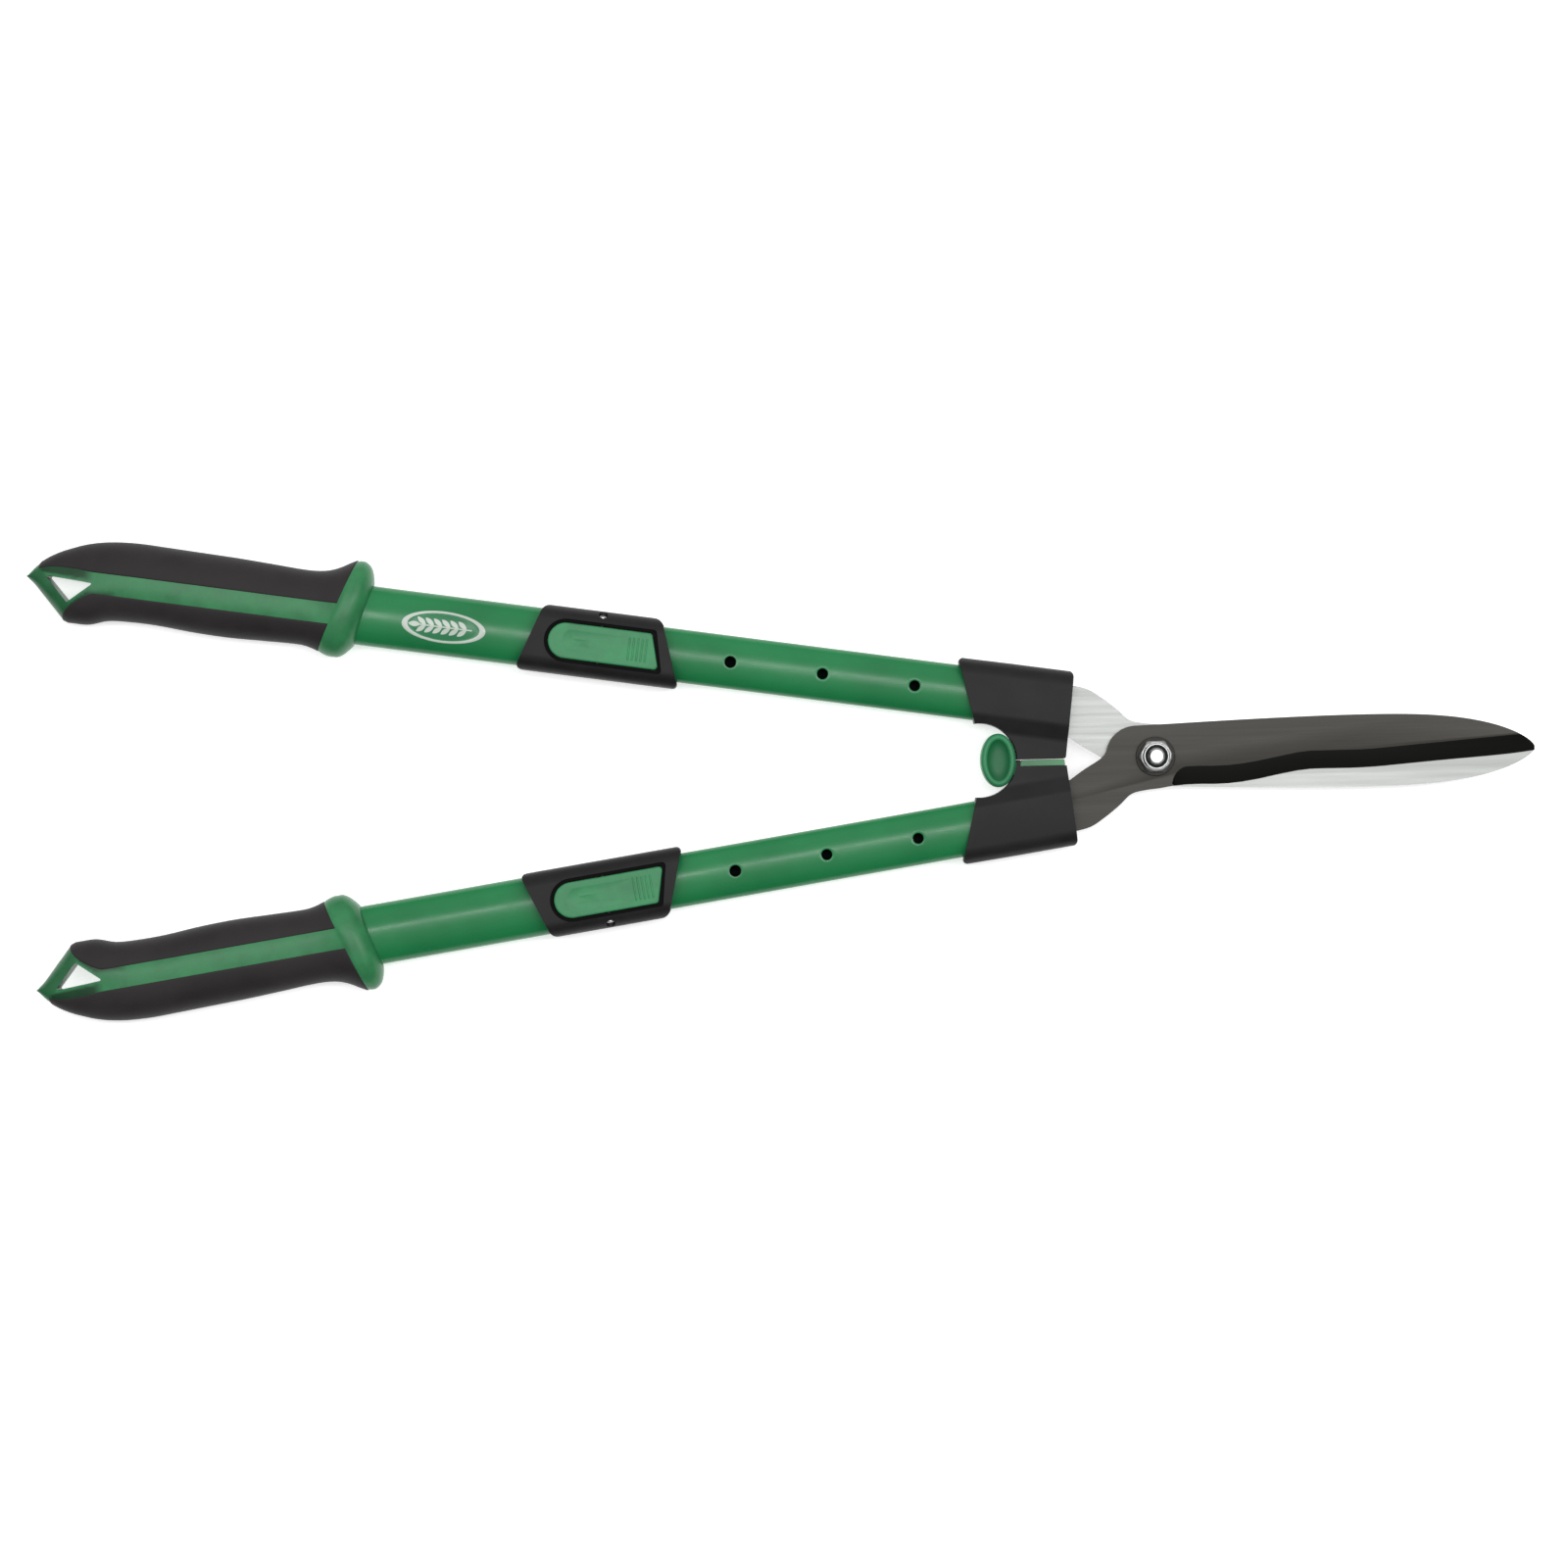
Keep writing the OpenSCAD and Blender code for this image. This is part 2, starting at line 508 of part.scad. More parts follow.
// Where the two soft pads lie, seen from above.
palm_zone = concat([[guard_line + guard_slant * stripe[1], stripe[1]], [499, stripe[1]]],
    smooth([[504, 4.6], [512, 5.4], [520, 5.2], [527.5, 3.6], [545, 2]], 3),
    [[545, 40], [guard_line + guard_slant * 40, 40]]);
finger_zone = concat([[guard_line + guard_slant * stripe[0], stripe[0]], [guard_line - guard_slant * 40, -40],
    [527, -40], [513.6, -24.2]], smooth([[511, -16.5], [504, -10.4], [496, stripe[0] - 0.4]], 3));

module pad_space(zone) linear_extrude(60, center = true) polygon(zone);
module palm_pad() resize([0, 0, 0]) difference() {
    intersection() {
        grip_form();
        pad_space(palm_zone);
    }
    grip_form(pad_t);
}
module finger_pad() resize([0, 0, 0]) difference() {
    intersection() {
        grip_form();
        pad_space(finger_zone);
    }
    grip_form(pad_t);
}

pad_t = 2.8;

module grip_core() difference() {
    resize([0, 0, 0]) union() {
        grip_form(pad_t + fit);
        difference() {
            grip_form();
            linear_extrude(60, center = true) {
                offset(delta = fit) polygon(palm_zone);
                offset(delta = fit) polygon(finger_zone);
            }
        }
    }
    along(330, outer_end + fit) polygon(oval(outer_w + 2 * fit, outer_h + 2 * fit));
    linear_extrude(60, center = true) polygon(rounded(eye, [0.8, 0.8, 0.8], 4));
    translate([grip_screw_x, 0, -40]) cylinder(h = 40, d = screw_d + 2 * fit, $fn = 32);
    translate([grip_screw_x, 0, -40])
        cylinder(h = 40 - grip_screw_z + screw_head_h + 0.1, d = screw_head_d + 0.4, $fn = 32);
}

module grip_screw() translate([grip_screw_x, 0, -grip_screw_z]) small_screw(8);

/* ---- Label ---- */

module label() intersection() {
    tube(270, 330, outer_w + 0.7, outer_h + 0.7, 0.3);
    translate([300, -1.2, 5]) linear_extrude(20) polygon(oval(48, 18, 48, 2));
}

/* ---- One side's pieces ---- */

black = [0.16, 0.16, 0.17];
green = [0.13, 0.5, 0.3];

module piece(part) {
    if (part == "inner_tube") color(green) inner_tube();
    if (part == "tang_rivets") color("silver") tang_rivets();
    if (part == "tube_bush") color("whitesmoke") tube_bush();
    if (part == "outer_tube") color(green) outer_tube();
    if (part == "lock_collar") color(black) lock_collar();
    if (part == "collar_screw") color("silver") collar_screw();
    if (part == "button") color("mediumseagreen") button();
    if (part == "lock_tooth") color("silver") lock_tooth();
    if (part == "button_pin") color("silver") button_pin();
    if (part == "button_spring") color("silver") button_spring();
    if (part == "grip_core") color("mediumseagreen") grip_core();
    if (part == "palm_pad") color(black) palm_pad();
    if (part == "finger_pad") color(black) finger_pad();
    if (part == "grip_screw") color("silver") grip_screw();
}
PIECES = ["inner_tube", "tang_rivets", "tube_bush", "outer_tube", "lock_collar", "collar_screw", "button",
    "lock_tooth", "button_pin", "button_spring", "grip_core", "palm_pad", "finger_pad", "grip_screw"];

front_blade();
rear_blade();
pivot_bolt();
pivot_washer();
pivot_nut();
nut_nylon_ring();
shock_bumper();
stop_pad();
lower_socket();
upper_socket();
upper_handle() color("white") label();  // upper_label
for (part = PIECES) {
    lower_handle() piece(part);
    upper_handle() piece(part);
}
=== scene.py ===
"""Looks for the telescopic hedge shears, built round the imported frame.

Metres, +Z up, with the shears closed and lying flat."""

import json
import math

import bmesh
import bpy
from mathutils import Matrix, Vector

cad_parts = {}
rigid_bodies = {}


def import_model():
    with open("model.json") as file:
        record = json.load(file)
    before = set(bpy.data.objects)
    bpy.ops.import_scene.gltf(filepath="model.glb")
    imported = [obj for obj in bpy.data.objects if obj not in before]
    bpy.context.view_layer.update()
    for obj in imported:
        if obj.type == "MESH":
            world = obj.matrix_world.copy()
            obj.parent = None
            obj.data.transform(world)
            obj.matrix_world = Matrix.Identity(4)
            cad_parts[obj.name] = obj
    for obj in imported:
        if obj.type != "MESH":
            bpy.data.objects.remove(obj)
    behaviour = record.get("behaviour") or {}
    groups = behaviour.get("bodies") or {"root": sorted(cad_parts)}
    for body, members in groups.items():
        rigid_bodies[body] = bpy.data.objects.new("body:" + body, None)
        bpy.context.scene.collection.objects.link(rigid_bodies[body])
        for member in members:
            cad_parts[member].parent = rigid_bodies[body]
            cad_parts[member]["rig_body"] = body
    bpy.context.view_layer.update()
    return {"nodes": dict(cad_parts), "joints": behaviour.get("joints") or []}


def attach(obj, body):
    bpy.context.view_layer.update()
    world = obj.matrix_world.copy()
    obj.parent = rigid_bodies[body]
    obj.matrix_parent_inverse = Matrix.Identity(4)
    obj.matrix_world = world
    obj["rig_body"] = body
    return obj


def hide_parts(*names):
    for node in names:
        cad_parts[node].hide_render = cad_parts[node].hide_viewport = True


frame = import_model()
SCENE = bpy.context.scene
MM = 0.001
SIDES = ("lower", "upper")

# ---- The frame's places ----

JOINTS = {j["name"]: j for j in frame["joints"]}
PIVOT = Vector(JOINTS["blade_pivot"]["pos_m"])
PIN_U, PIN_Z = 212, 15  # the button pin's place along the handle and above it, in mm
UP = Vector((0, 0, 1))


def columns(x, y, z, origin):
    """The matrix that takes millimetres along these axes to metres in the shared frame."""
    m = Matrix.Identity(4)
    for i, axis in enumerate((x * MM, y * MM, z * MM, origin)):
        for row in range(3):
            m[row][i] = axis[row]
    return m


def handle_matrix(side):
    """Handle millimetres: u towards the grip, v away from the other handle, z up."""
    along = -Vector(JOINTS[f"{side}_telescope"]["axis"])
    out = UP.cross(along) * (1 if side == "lower" else -1)
    pin = Vector(JOINTS[f"{side}_button_rock"]["pos_m"])
    return columns(along, out, UP, pin - along * PIN_U * MM - UP * PIN_Z * MM)


HANDLE = {side: handle_matrix(side) for side in SIDES}
SHEARS = columns(Vector((1, 0, 0)), Vector((0, 1, 0)), UP, PIVOT)
FLIPPED = SHEARS @ Matrix.Rotation(math.pi, 4, "X")  # the front half is the rear one turned over

# Sizes in millimetres, as in the CAD. Places along a handle are measured towards the grip.
OVAL_POWER = 2.3  # a tube's section: above 2, it is squarer than an ellipse
INNER_W, INNER_H, OUTER_W, OUTER_H, WALL = 30, 18, 34, 22, 1
INNER_ENDS, OUTER_ENDS = (-30, 262), (180, 480)
HOLES = [34.5 + 52 * i for i in range(4)]
HOLE_R, TOOTH_HOLE_R = 3.0, 4.2
PAD_T = 2.8
GUARD_LINE, GUARD_SLANT = 361.5, -0.3
PALM_EDGE, FINGER_EDGE, PALM_PAD_END = 4.2, -7.6, 529.5
GRIP_SCREW_U = 470
EYE = [(525, -0.4), (497, -1.6), (510.9, -14.1)]

# ---- Meshes ----


def add_object(name, mesh):
    piece = bpy.data.objects.new(name, mesh)
    SCENE.collection.objects.link(piece)
    return piece


def mesh_from(name, verts, faces, matrix=None, materials=None):
    """A mesh from points, which a matrix takes to the shared frame. materials gives each face's slot."""
    mesh = bpy.data.meshes.new(name)
    mesh.from_pydata([tuple(matrix @ Vector(v)) if matrix else tuple(v) for v in verts], [], faces)
    if matrix and matrix.to_3x3().determinant() < 0:
        mesh.flip_normals()
    if materials:
        mesh.polygons.foreach_set("material_index", materials)
    mesh.validate()
    return mesh


def smoothed(mesh, angle):
    mesh.shade_smooth()
    mesh.set_sharp_from_angle(angle=math.radians(angle))
    return mesh


def round_edges(piece, width, angle, segments):
    bevel = piece.modifiers.new("edges", "BEVEL")
    bevel.width = width * MM
    bevel.segments = segments
    bevel.limit_method = "ANGLE"
    bevel.angle_limit = math.radians(angle)
    bevel.miter_outer = "MITER_ARC"
    bevel.harden_normals = True


def stand_for(piece, node, materials, body=None):
    """The piece takes a CAD node's place and body, with these materials in its slots."""
    for material in materials:
        piece.data.materials.append(material)
    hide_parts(node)
    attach(piece, body or frame["nodes"][node]["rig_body"])
    return piece


def grid_faces(rows, width, first=0, closed=True):
    """Quads between rows of points, each row with the same number of them."""
    last = width if closed else width - 1
    return [
        (first + i * width + k, first + (i + 1) * width + k,
         first + (i + 1) * width + (k + 1) % width, first + i * width + (k + 1) % width)
        for i in range(rows - 1) for k in range(last)
    ]


def loft(rings):
    """Points and faces of a skin through closed rings, with its ends closed."""
    width = len(rings[0])
    verts = [p for ring in rings for p in ring]
    faces = [tuple(reversed(f)) for f in grid_faces(len(rings), width)]
    faces += [tuple(range(width))[::-1], tuple(range(len(verts) - width, len(verts)))]
    return verts, faces


def facing_out(mesh):
    """Turns a closed mesh's faces outwards."""
    b = bmesh.new()
    b.from_mesh(mesh)
    bmesh.ops.recalc_face_normals(b, faces=b.faces)
    b.to_mesh(mesh)
    b.free()
    return mesh


def around(steps):
    """Even steps round a circle, in radians."""
    return [2 * math.pi * k / steps for k in range(steps)]


def oval_point(angle, w, h):
    c, s = math.cos(angle), math.sin(angle)
    power = 2 / OVAL_POWER
    return (math.copysign(abs(c) ** power, c) * w / 2, math.copysign(abs(s) ** power, s) * h / 2)


def oval_height(v, w, h):
    """The height of an oval's surface at v from its middle."""
    return h / 2 * (1 - min(1, abs(2 * v / w)) ** OVAL_POWER) ** (1 / OVAL_POWER)


WELD = 0.004  # points that are nearer than this are joined, in mm
FLAT_ANGLE = 0.5  # faces that meet at less than this are joined, in degrees


def copy_of(node, materials, bevel, angle=35, segments=3):
    """A piece with a CAD node's shape, cleaned of needless edges, and with its corners rounded."""
    mesh = frame["nodes"][node].data.copy()
    mesh.name = f"{node}_mesh"
    mesh.materials.clear()
    for name in ("custom_normal", "sharp_edge", "sharp_face"):
        if name in mesh.attributes:
            mesh.attributes.remove(mesh.attributes[name])
    b = bmesh.new()
    b.from_mesh(mesh)
    bmesh.ops.remove_doubles(b, verts=b.verts, dist=WELD * MM)
    bmesh.ops.dissolve_limit(b, angle_limit=math.radians(FLAT_ANGLE), verts=b.verts, edges=b.edges)
    b.to_mesh(mesh)
    b.free()
    smoothed(mesh, angle)
    piece = add_object(f"{node}_piece", mesh)
    round_edges(piece, bevel, angle, segments)
    return stand_for(piece, node, materials)


# ---- Materials ----

MIX_A, MIX_B, MIX_RESULT = 6, 7, 2  # the colour sockets of a Mix node


def principled(name, colour, rough, metal=0.0, coat=0.0, specular=0.4):
    material = bpy.data.materials.new(name)
    material.use_nodes = True
    shader = material.node_tree.nodes["Principled BSDF"]
    shader.inputs["Base Color"].default_value = (*colour, 1)
    shader.inputs["Roughness"].default_value = rough
    shader.inputs["Metallic"].default_value = metal
    shader.inputs["Coat Weight"].default_value = coat
    shader.inputs["Coat Roughness"].default_value = 0.15
    shader.inputs["Specular IOR Level"].default_value = specular
    return material, material.node_tree, shader


def texture(tree, kind, scale, stretch=(1, 1, 1), **settings):
    """A texture in the object's own coordinates.

    scale is in features a metre, and stretch makes them longer along X, Y and Z."""
    where = tree.nodes.new("ShaderNodeTexCoord")
    mapping = tree.nodes.new("ShaderNodeMapping")
    mapping.vector_type = "TEXTURE"
    mapping.inputs["Scale"].default_value = stretch
    tree.links.new(where.outputs["Object"], mapping.inputs["Vector"])
    node = tree.nodes.new(kind)
    node.inputs["Scale"].default_value = scale
    for key, value in settings.items():
        node.inputs[key.replace("_", " ")].default_value = value
    tree.links.new(mapping.outputs["Vector"], node.inputs["Vector"])
    return node.outputs["Distance" if kind == "ShaderNodeTexVoronoi" else 0]


def ramp(tree, value, stops):
    """Maps a value to colours: stops are (place, colour)."""
    node = tree.nodes.new("ShaderNodeValToRGB")
    elements = node.color_ramp.elements
    while len(elements) < len(stops):
        elements.new(0.5)
    for element, (place, colour) in zip(elements, stops):
        element.position = place
        element.color = (*colour, 1)
    tree.links.new(value, node.inputs["Fac"])
    return node.outputs["Color"]


def spread(tree, value, low, high):
    """Maps the middle half of a texture's range to low..high."""
    node = tree.nodes.new("ShaderNodeMapRange")
    node.inputs["From Min"].default_value = 0.25
    node.inputs["From Max"].default_value = 0.75
    node.inputs["To Min"].default_value = low
    node.inputs["To Max"].default_value = high
    tree.links.new(value, node.inputs["Value"])
    return node.outputs["Result"]


def bump(tree, shader, value, height, before=None):
    """Raises the surface by a texture; height is in millimetres."""
    node = tree.nodes.new("ShaderNodeBump")
    node.inputs["Strength"].default_value = 1
    node.inputs["Distance"].default_value = height * MM
    tree.links.new(value, node.inputs["Height"])
    if before:
        tree.links.new(before, node.inputs["Normal"])
    tree.links.new(node.outputs["Normal"], shader.inputs["Normal"])
    return node.outputs["Normal"]


def tinted(colour, factor):
    return tuple(min(1.0, c * factor) for c in colour)


def mottled(tree, value, colour, low, high):
    """A colour that a texture makes darker, by the factor low, and lighter, by the factor high."""
    return ramp(tree, value, [(0.3, tinted(colour, low)), (0.7, tinted(colour, high))])


def paint(name, colour):
    """Glossy paint with a faint orange peel and slight differences in gloss."""
    material, tree, shader = principled(name, colour, 0.24, coat=0.05, specular=0.3)
    cloud = texture(tree, "ShaderNodeTexNoise", 28, Detail=4.0)
    tree.links.new(mottled(tree, cloud, colour, 0.9, 1.1), shader.inputs["Base Color"])
    smudge = texture(tree, "ShaderNodeTexNoise", 90, Detail=5.0)
    tree.links.new(spread(tree, smudge, 0.2, 0.29), shader.inputs["Roughness"])
    bump(tree, shader, texture(tree, "ShaderNodeTexNoise", 700, Detail=2.0), 0.012)
    return material


def moulded(name, colour, rough, grain=0.25, depth=0.02, specular=0.4):
    """Hard moulded plastic with an eroded grain; grain is the size of its spots in mm."""
    material, tree, shader = principled(name, colour, rough, specular=specular)
    cloud = texture(tree, "ShaderNodeTexNoise", 55, Detail=6.0, Roughness=0.6)
    tree.links.new(mottled(tree, cloud, colour, 0.8, 1.25), shader.inputs["Base Color"])
    tree.links.new(spread(tree, cloud, rough - 0.05, rough + 0.07), shader.inputs["Roughness"])
    bump(tree, shader, texture(tree, "ShaderNodeTexNoise", 1000 / grain, Detail=2.0), depth)
    return material


def soft(name, colour, rough=0.62):
    """Soft moulded rubber: a fine pebbled grain over low swells."""
    material, tree, shader = principled(name, colour, rough, specular=0.32)
    cloud = texture(tree, "ShaderNodeTexNoise", 40, Detail=5.0)
    tree.links.new(mottled(tree, cloud, colour, 0.8, 1.3), shader.inputs["Base Color"])
    tree.links.new(spread(tree, cloud, rough - 0.06, rough + 0.06), shader.inputs["Roughness"])
    first = bump(tree, shader, texture(tree, "ShaderNodeTexNoise", 180, Detail=2.0), 0.06)
    bump(tree, shader, texture(tree, "ShaderNodeTexVoronoi", 1500), 0.035, first)
    return material


def brushed(name, colour, rough, metal, depth=0.01, contrast=0.12, specular=0.4):
    """Metal or a coating over metal, with fine lines along the blade."""
    material, tree, shader = principled(name, colour, rough, metal, specular=specular)
    lines = texture(tree, "ShaderNodeTexNoise", 1500, stretch=(60, 1, 1), Detail=5.0, Roughness=0.6)
    cloud = texture(tree, "ShaderNodeTexNoise", 300, stretch=(30, 1, 1), Detail=5.0)
    mix = tree.nodes.new("ShaderNodeMix")
    mix.data_type = "RGBA"
    mix.inputs["Factor"].default_value = 0.5
    for value, socket in ((lines, MIX_A), (cloud, MIX_B)):
        streaks = mottled(tree, value, colour, 1 - contrast, 1 + contrast)
        tree.links.new(streaks, mix.inputs[socket])
    tree.links.new(mix.outputs[MIX_RESULT], shader.inputs["Base Color"])
    tree.links.new(spread(tree, cloud, rough - 0.05, rough + 0.08), shader.inputs["Roughness"])
    bump(tree, shader, lines, depth)
    return material


def turned(name, colour, rough):
    """Turned or plated hardware, with faint scuffs."""
    material, tree, shader = principled(name, colour, rough, 1.0)
    scuffs = texture(tree, "ShaderNodeTexNoise", 900, Detail=6.0, Roughness=0.7)
    tree.links.new(mottled(tree, scuffs, colour, 0.85, 1.1), shader.inputs["Base Color"])
    tree.links.new(spread(tree, scuffs, rough - 0.06, rough + 0.12), shader.inputs["Roughness"])
    bump(tree, shader, scuffs, 0.01)
    return material


def shaded(material, factor):
    """Darkens a material by painted shade: its mesh's own "shade" value, which is 0 to 1 at each point."""
    tree = material.node_tree
    base = tree.nodes["Principled BSDF"].inputs["Base Color"]
    colour = base.links[0].from_socket
    shade = tree.nodes.new("ShaderNodeAttribute")
    shade.attribute_name = "shade"
    mix = tree.nodes.new("ShaderNodeMix")
    mix.data_type, mix.blend_type = "RGBA", "MULTIPLY"
    mix.inputs[MIX_B].default_value = (factor, factor, factor, 1)
    tree.links.new(shade.outputs["Fac"], mix.inputs["Factor"])
    tree.links.new(colour, mix.inputs[MIX_A])
    tree.links.new(mix.outputs[MIX_RESULT], base)


GREEN = paint("green_paint", (0.016, 0.218, 0.07))
GRIP_GREEN = moulded("grip_green", (0.036, 0.222, 0.084), 0.34, grain=0.4, depth=0.012, specular=0.3)
# painted shade: the grip's green darkens to a quarter beside the hanging eye
shaded(GRIP_GREEN, 0.25)
BUTTON_GREEN = moulded("button_green", (0.04, 0.27, 0.105), 0.42, grain=0.4, depth=0.012)
SOFT_GREEN = soft("bumper_green", (0.03, 0.235, 0.095), 0.36)
# painted shade: a darker green for the bumper's dishes, on the same rubber as its rim
DISH_SHADE_GREEN = soft("bumper_dish_painted_shade", (0.01, 0.13, 0.045), 0.4)
STRIP_GREEN = soft("stop_pad_green", (0.1, 0.27, 0.14), 0.45)
BLACK = moulded("black_plastic", (0.0125, 0.012, 0.0125), 0.5, grain=0.35, depth=0.025, specular=0.24)
# painted shade: a darker black for the ledge and pocket walls round each button
RECESS_SHADE = moulded("black_recess_painted_shade", (0.004, 0.004, 0.004), 0.7, grain=0.35, depth=0.025, specular=0.1)
PAD = soft("black_rubber", (0.021, 0.018, 0.019))
COATED = brushed("coated_blade", (0.042, 0.0395, 0.033), 0.42, 0.2, depth=0.006, contrast=0.2)
# painted shade: near black on the front blade's tilted ground bevel
GROUND_SHADE = brushed("ground_edge_painted_shade", (0.006, 0.006, 0.005), 0.45, 0.0, depth=0.004, specular=0.1)
BRIGHT = brushed("bright_blade", (0.28, 0.288, 0.28), 0.36, 0.8, depth=0.006, contrast=0.05)
GROUND_BRIGHT = brushed("bright_ground_edge", (0.54, 0.55, 0.53), 0.26, 0.9, depth=0.004, contrast=0.05)
STEEL = turned("plated_steel", (0.38, 0.385, 0.38), 0.28)
BLACKED = turned("blacked_steel", (0.03, 0.029, 0.027), 0.4)
# painted shade: near black inside the tubes, which darkens what the holes show
TUBE_INSIDE_SHADE = brushed("tube_inside_painted_shade", (0.006, 0.012, 0.008), 0.6, 0.0, specular=0.06)
# the nut's nylon ring, made near black so that it also paints the shade in the groove round the bolt's end
NYLON_AND_SHADE = moulded("dark_nylon_and_painted_shade", (0.006, 0.007, 0.01), 0.5, specular=0.15)
WHITE_PLASTIC = moulded("white_plastic", (0.75, 0.75, 0.72), 0.45)
LABEL_WHITE = paint("label_white", (0.62, 0.7, 0.62))
LABEL_GREEN = paint("label_green", (0.03, 0.23, 0.09))

# ---- Camera, light and floor ----


def look_straight_down():
    """The photograph looks straight down, a little turned, and shows 880 mm of the plane of the pivot."""
    camera = bpy.data.cameras.new("camera")
    camera.lens, camera.sensor_width = 120, 36
    picture_w, turn = 0.88, math.radians(-1.38)
    middle_x, middle_y = PIVOT.x - 0.2085, -0.0105
    eye = bpy.data.objects.new("camera", camera)
    distance = picture_w * camera.lens / camera.sensor_width
    eye.location = (middle_x, middle_y, PIVOT.z + distance)
    eye.rotation_euler = (0, 0, turn)
    camera.clip_end = 20
    SCENE.collection.objects.link(eye)
    SCENE.camera = eye


def area_light(name, place, size, power):
    """A lamp that points at the origin."""
    light = bpy.data.lights.new(name, "AREA")
    light.shape = "RECTANGLE"
    light.size, light.size_y = size
    light.energy = power
    lamp = bpy.data.objects.new(name, light)
    lamp.location = place
    lamp.rotation_euler = (Vector() - Vector(place)).to_track_quat("-Z", "Y").to_euler()
    SCENE.collection.objects.link(lamp)


SKY = ((0.0, 0.04), (0.4, 0.22), (0.9, 1.0))  # height, grey
SKY_LEAN = math.radians(25)


def studio():
    """White light from overhead and a little behind, that falls off towards the horizon, over a pale floor.

    One long lamp draws the streaks along the tubes. One across them lights the guards and round ends."""
    world = bpy.data.worlds.new("studio")
    world.use_nodes = True
    tree = world.node_tree
    where = tree.nodes.new("ShaderNodeTexCoord")
    lean = tree.nodes.new("ShaderNodeMapping")
    lean.vector_type = "VECTOR"
    lean.inputs["Rotation"].default_value = (SKY_LEAN, 0, 0)
    split = tree.nodes.new("ShaderNodeSeparateXYZ")
    tree.links.new(where.outputs["Generated"], lean.inputs["Vector"])
    tree.links.new(lean.outputs["Vector"], split.inputs["Vector"])
    sky = ramp(tree, split.outputs["Z"], [(height, (grey,) * 3) for height, grey in SKY])
    tree.links.new(sky, tree.nodes["Background"].inputs["Color"])
    tree.nodes["Background"].inputs["Strength"].default_value = 0.9
    SCENE.world = world
    SCENE.view_settings.view_transform = "Standard"
    area_light("over", (0, 0.3, 3.4), (3.4, 0.22), 34)
    area_light("end", (1.5, 0.3, 3.0), (0.3, 2.4), 10)
    material, _, shader = principled("floor", (0.9, 0.9, 0.9), 0.9)
    shader.inputs["Emission Color"].default_value = (1, 1, 1, 1)
    shader.inputs["Emission Strength"].default_value = 0.6
    reach = 6
    corners = [(-reach, -reach, 0), (reach, -reach, 0), (reach, reach, 0), (-reach, reach, 0)]
    mesh = mesh_from("floor", corners, [(0, 1, 2, 3)])
    mesh.materials.append(material)
    add_object("floor", mesh)


# ---- Tubes ----

HOLE_PATCH, HOLE_STEP = 5.0, 1.25  # half the side of the square grid round a hole, and the grid's step
PATCH_CELLS = round(2 * HOLE_PATCH / HOLE_STEP)
TUBE_STEP, TUBE_SIDES = 6, 84
RIM = 0.4  # an end's broken edge
# Rings round a hole on the outside and the inside: wider than the hole by, and below the skin by
HOLE_RINGS = (((1.6, 0), (0.35, 0), (0.1, 0.12), (0, 0.35)), ((1.6, 0), (0, 0)))


def tube_section(w, h):
    """Points round an oval tube, starting with a strip along its top for the holes: (v, z)."""
    strip = [HOLE_PATCH - HOLE_STEP * i for i in range(PATCH_CELLS + 1)]
    start = math.acos(abs(2 * HOLE_PATCH / w) ** (OVAL_POWER / 2))
    turn = 2 * math.pi - (math.pi - 2 * start)
    rest = [oval_point(math.pi - start + turn * i / TUBE_SIDES, w, h) for i in range(1, TUBE_SIDES)]
    return [(v, oval_height(v, w, h)) for v in strip] + rest


def tube_stations(ends, holes):
    """Places of the rings along a tube: close together at each hole, and further apart between them."""
    marks = {ends[0] + RIM, ends[1] - RIM}
    for u in holes:
        marks.update(u - HOLE_PATCH + HOLE_STEP * i for i in range(PATCH_CELLS + 1))
    marks = sorted(marks)
    stations = []
    for a, b in zip(marks, marks[1:]):
        parts = max(1, round((b - a) / TUBE_STEP))
        stations += [a + (b - a) * i / parts for i in range(parts)]
    return [*stations, marks[-1]]


def ring_faces(ring_a, ring_b):
    """Quads between two rings of point numbers."""
    count = len(ring_a)
    return [(ring_a[n], ring_a[(n + 1) % count], ring_b[(n + 1) % count], ring_b[n]) for n in range(count)]


def patch_border(row):
    """The row and the column of each point round the grid of a hole whose first row this is."""
    n = PATCH_CELLS
    border = [(row + i, 0) for i in range(n)] + [(row + n, k) for k in range(n)]
    return border + [(row + n - i, n) for i in range(n)] + [(row, n - k) for k in range(n)]


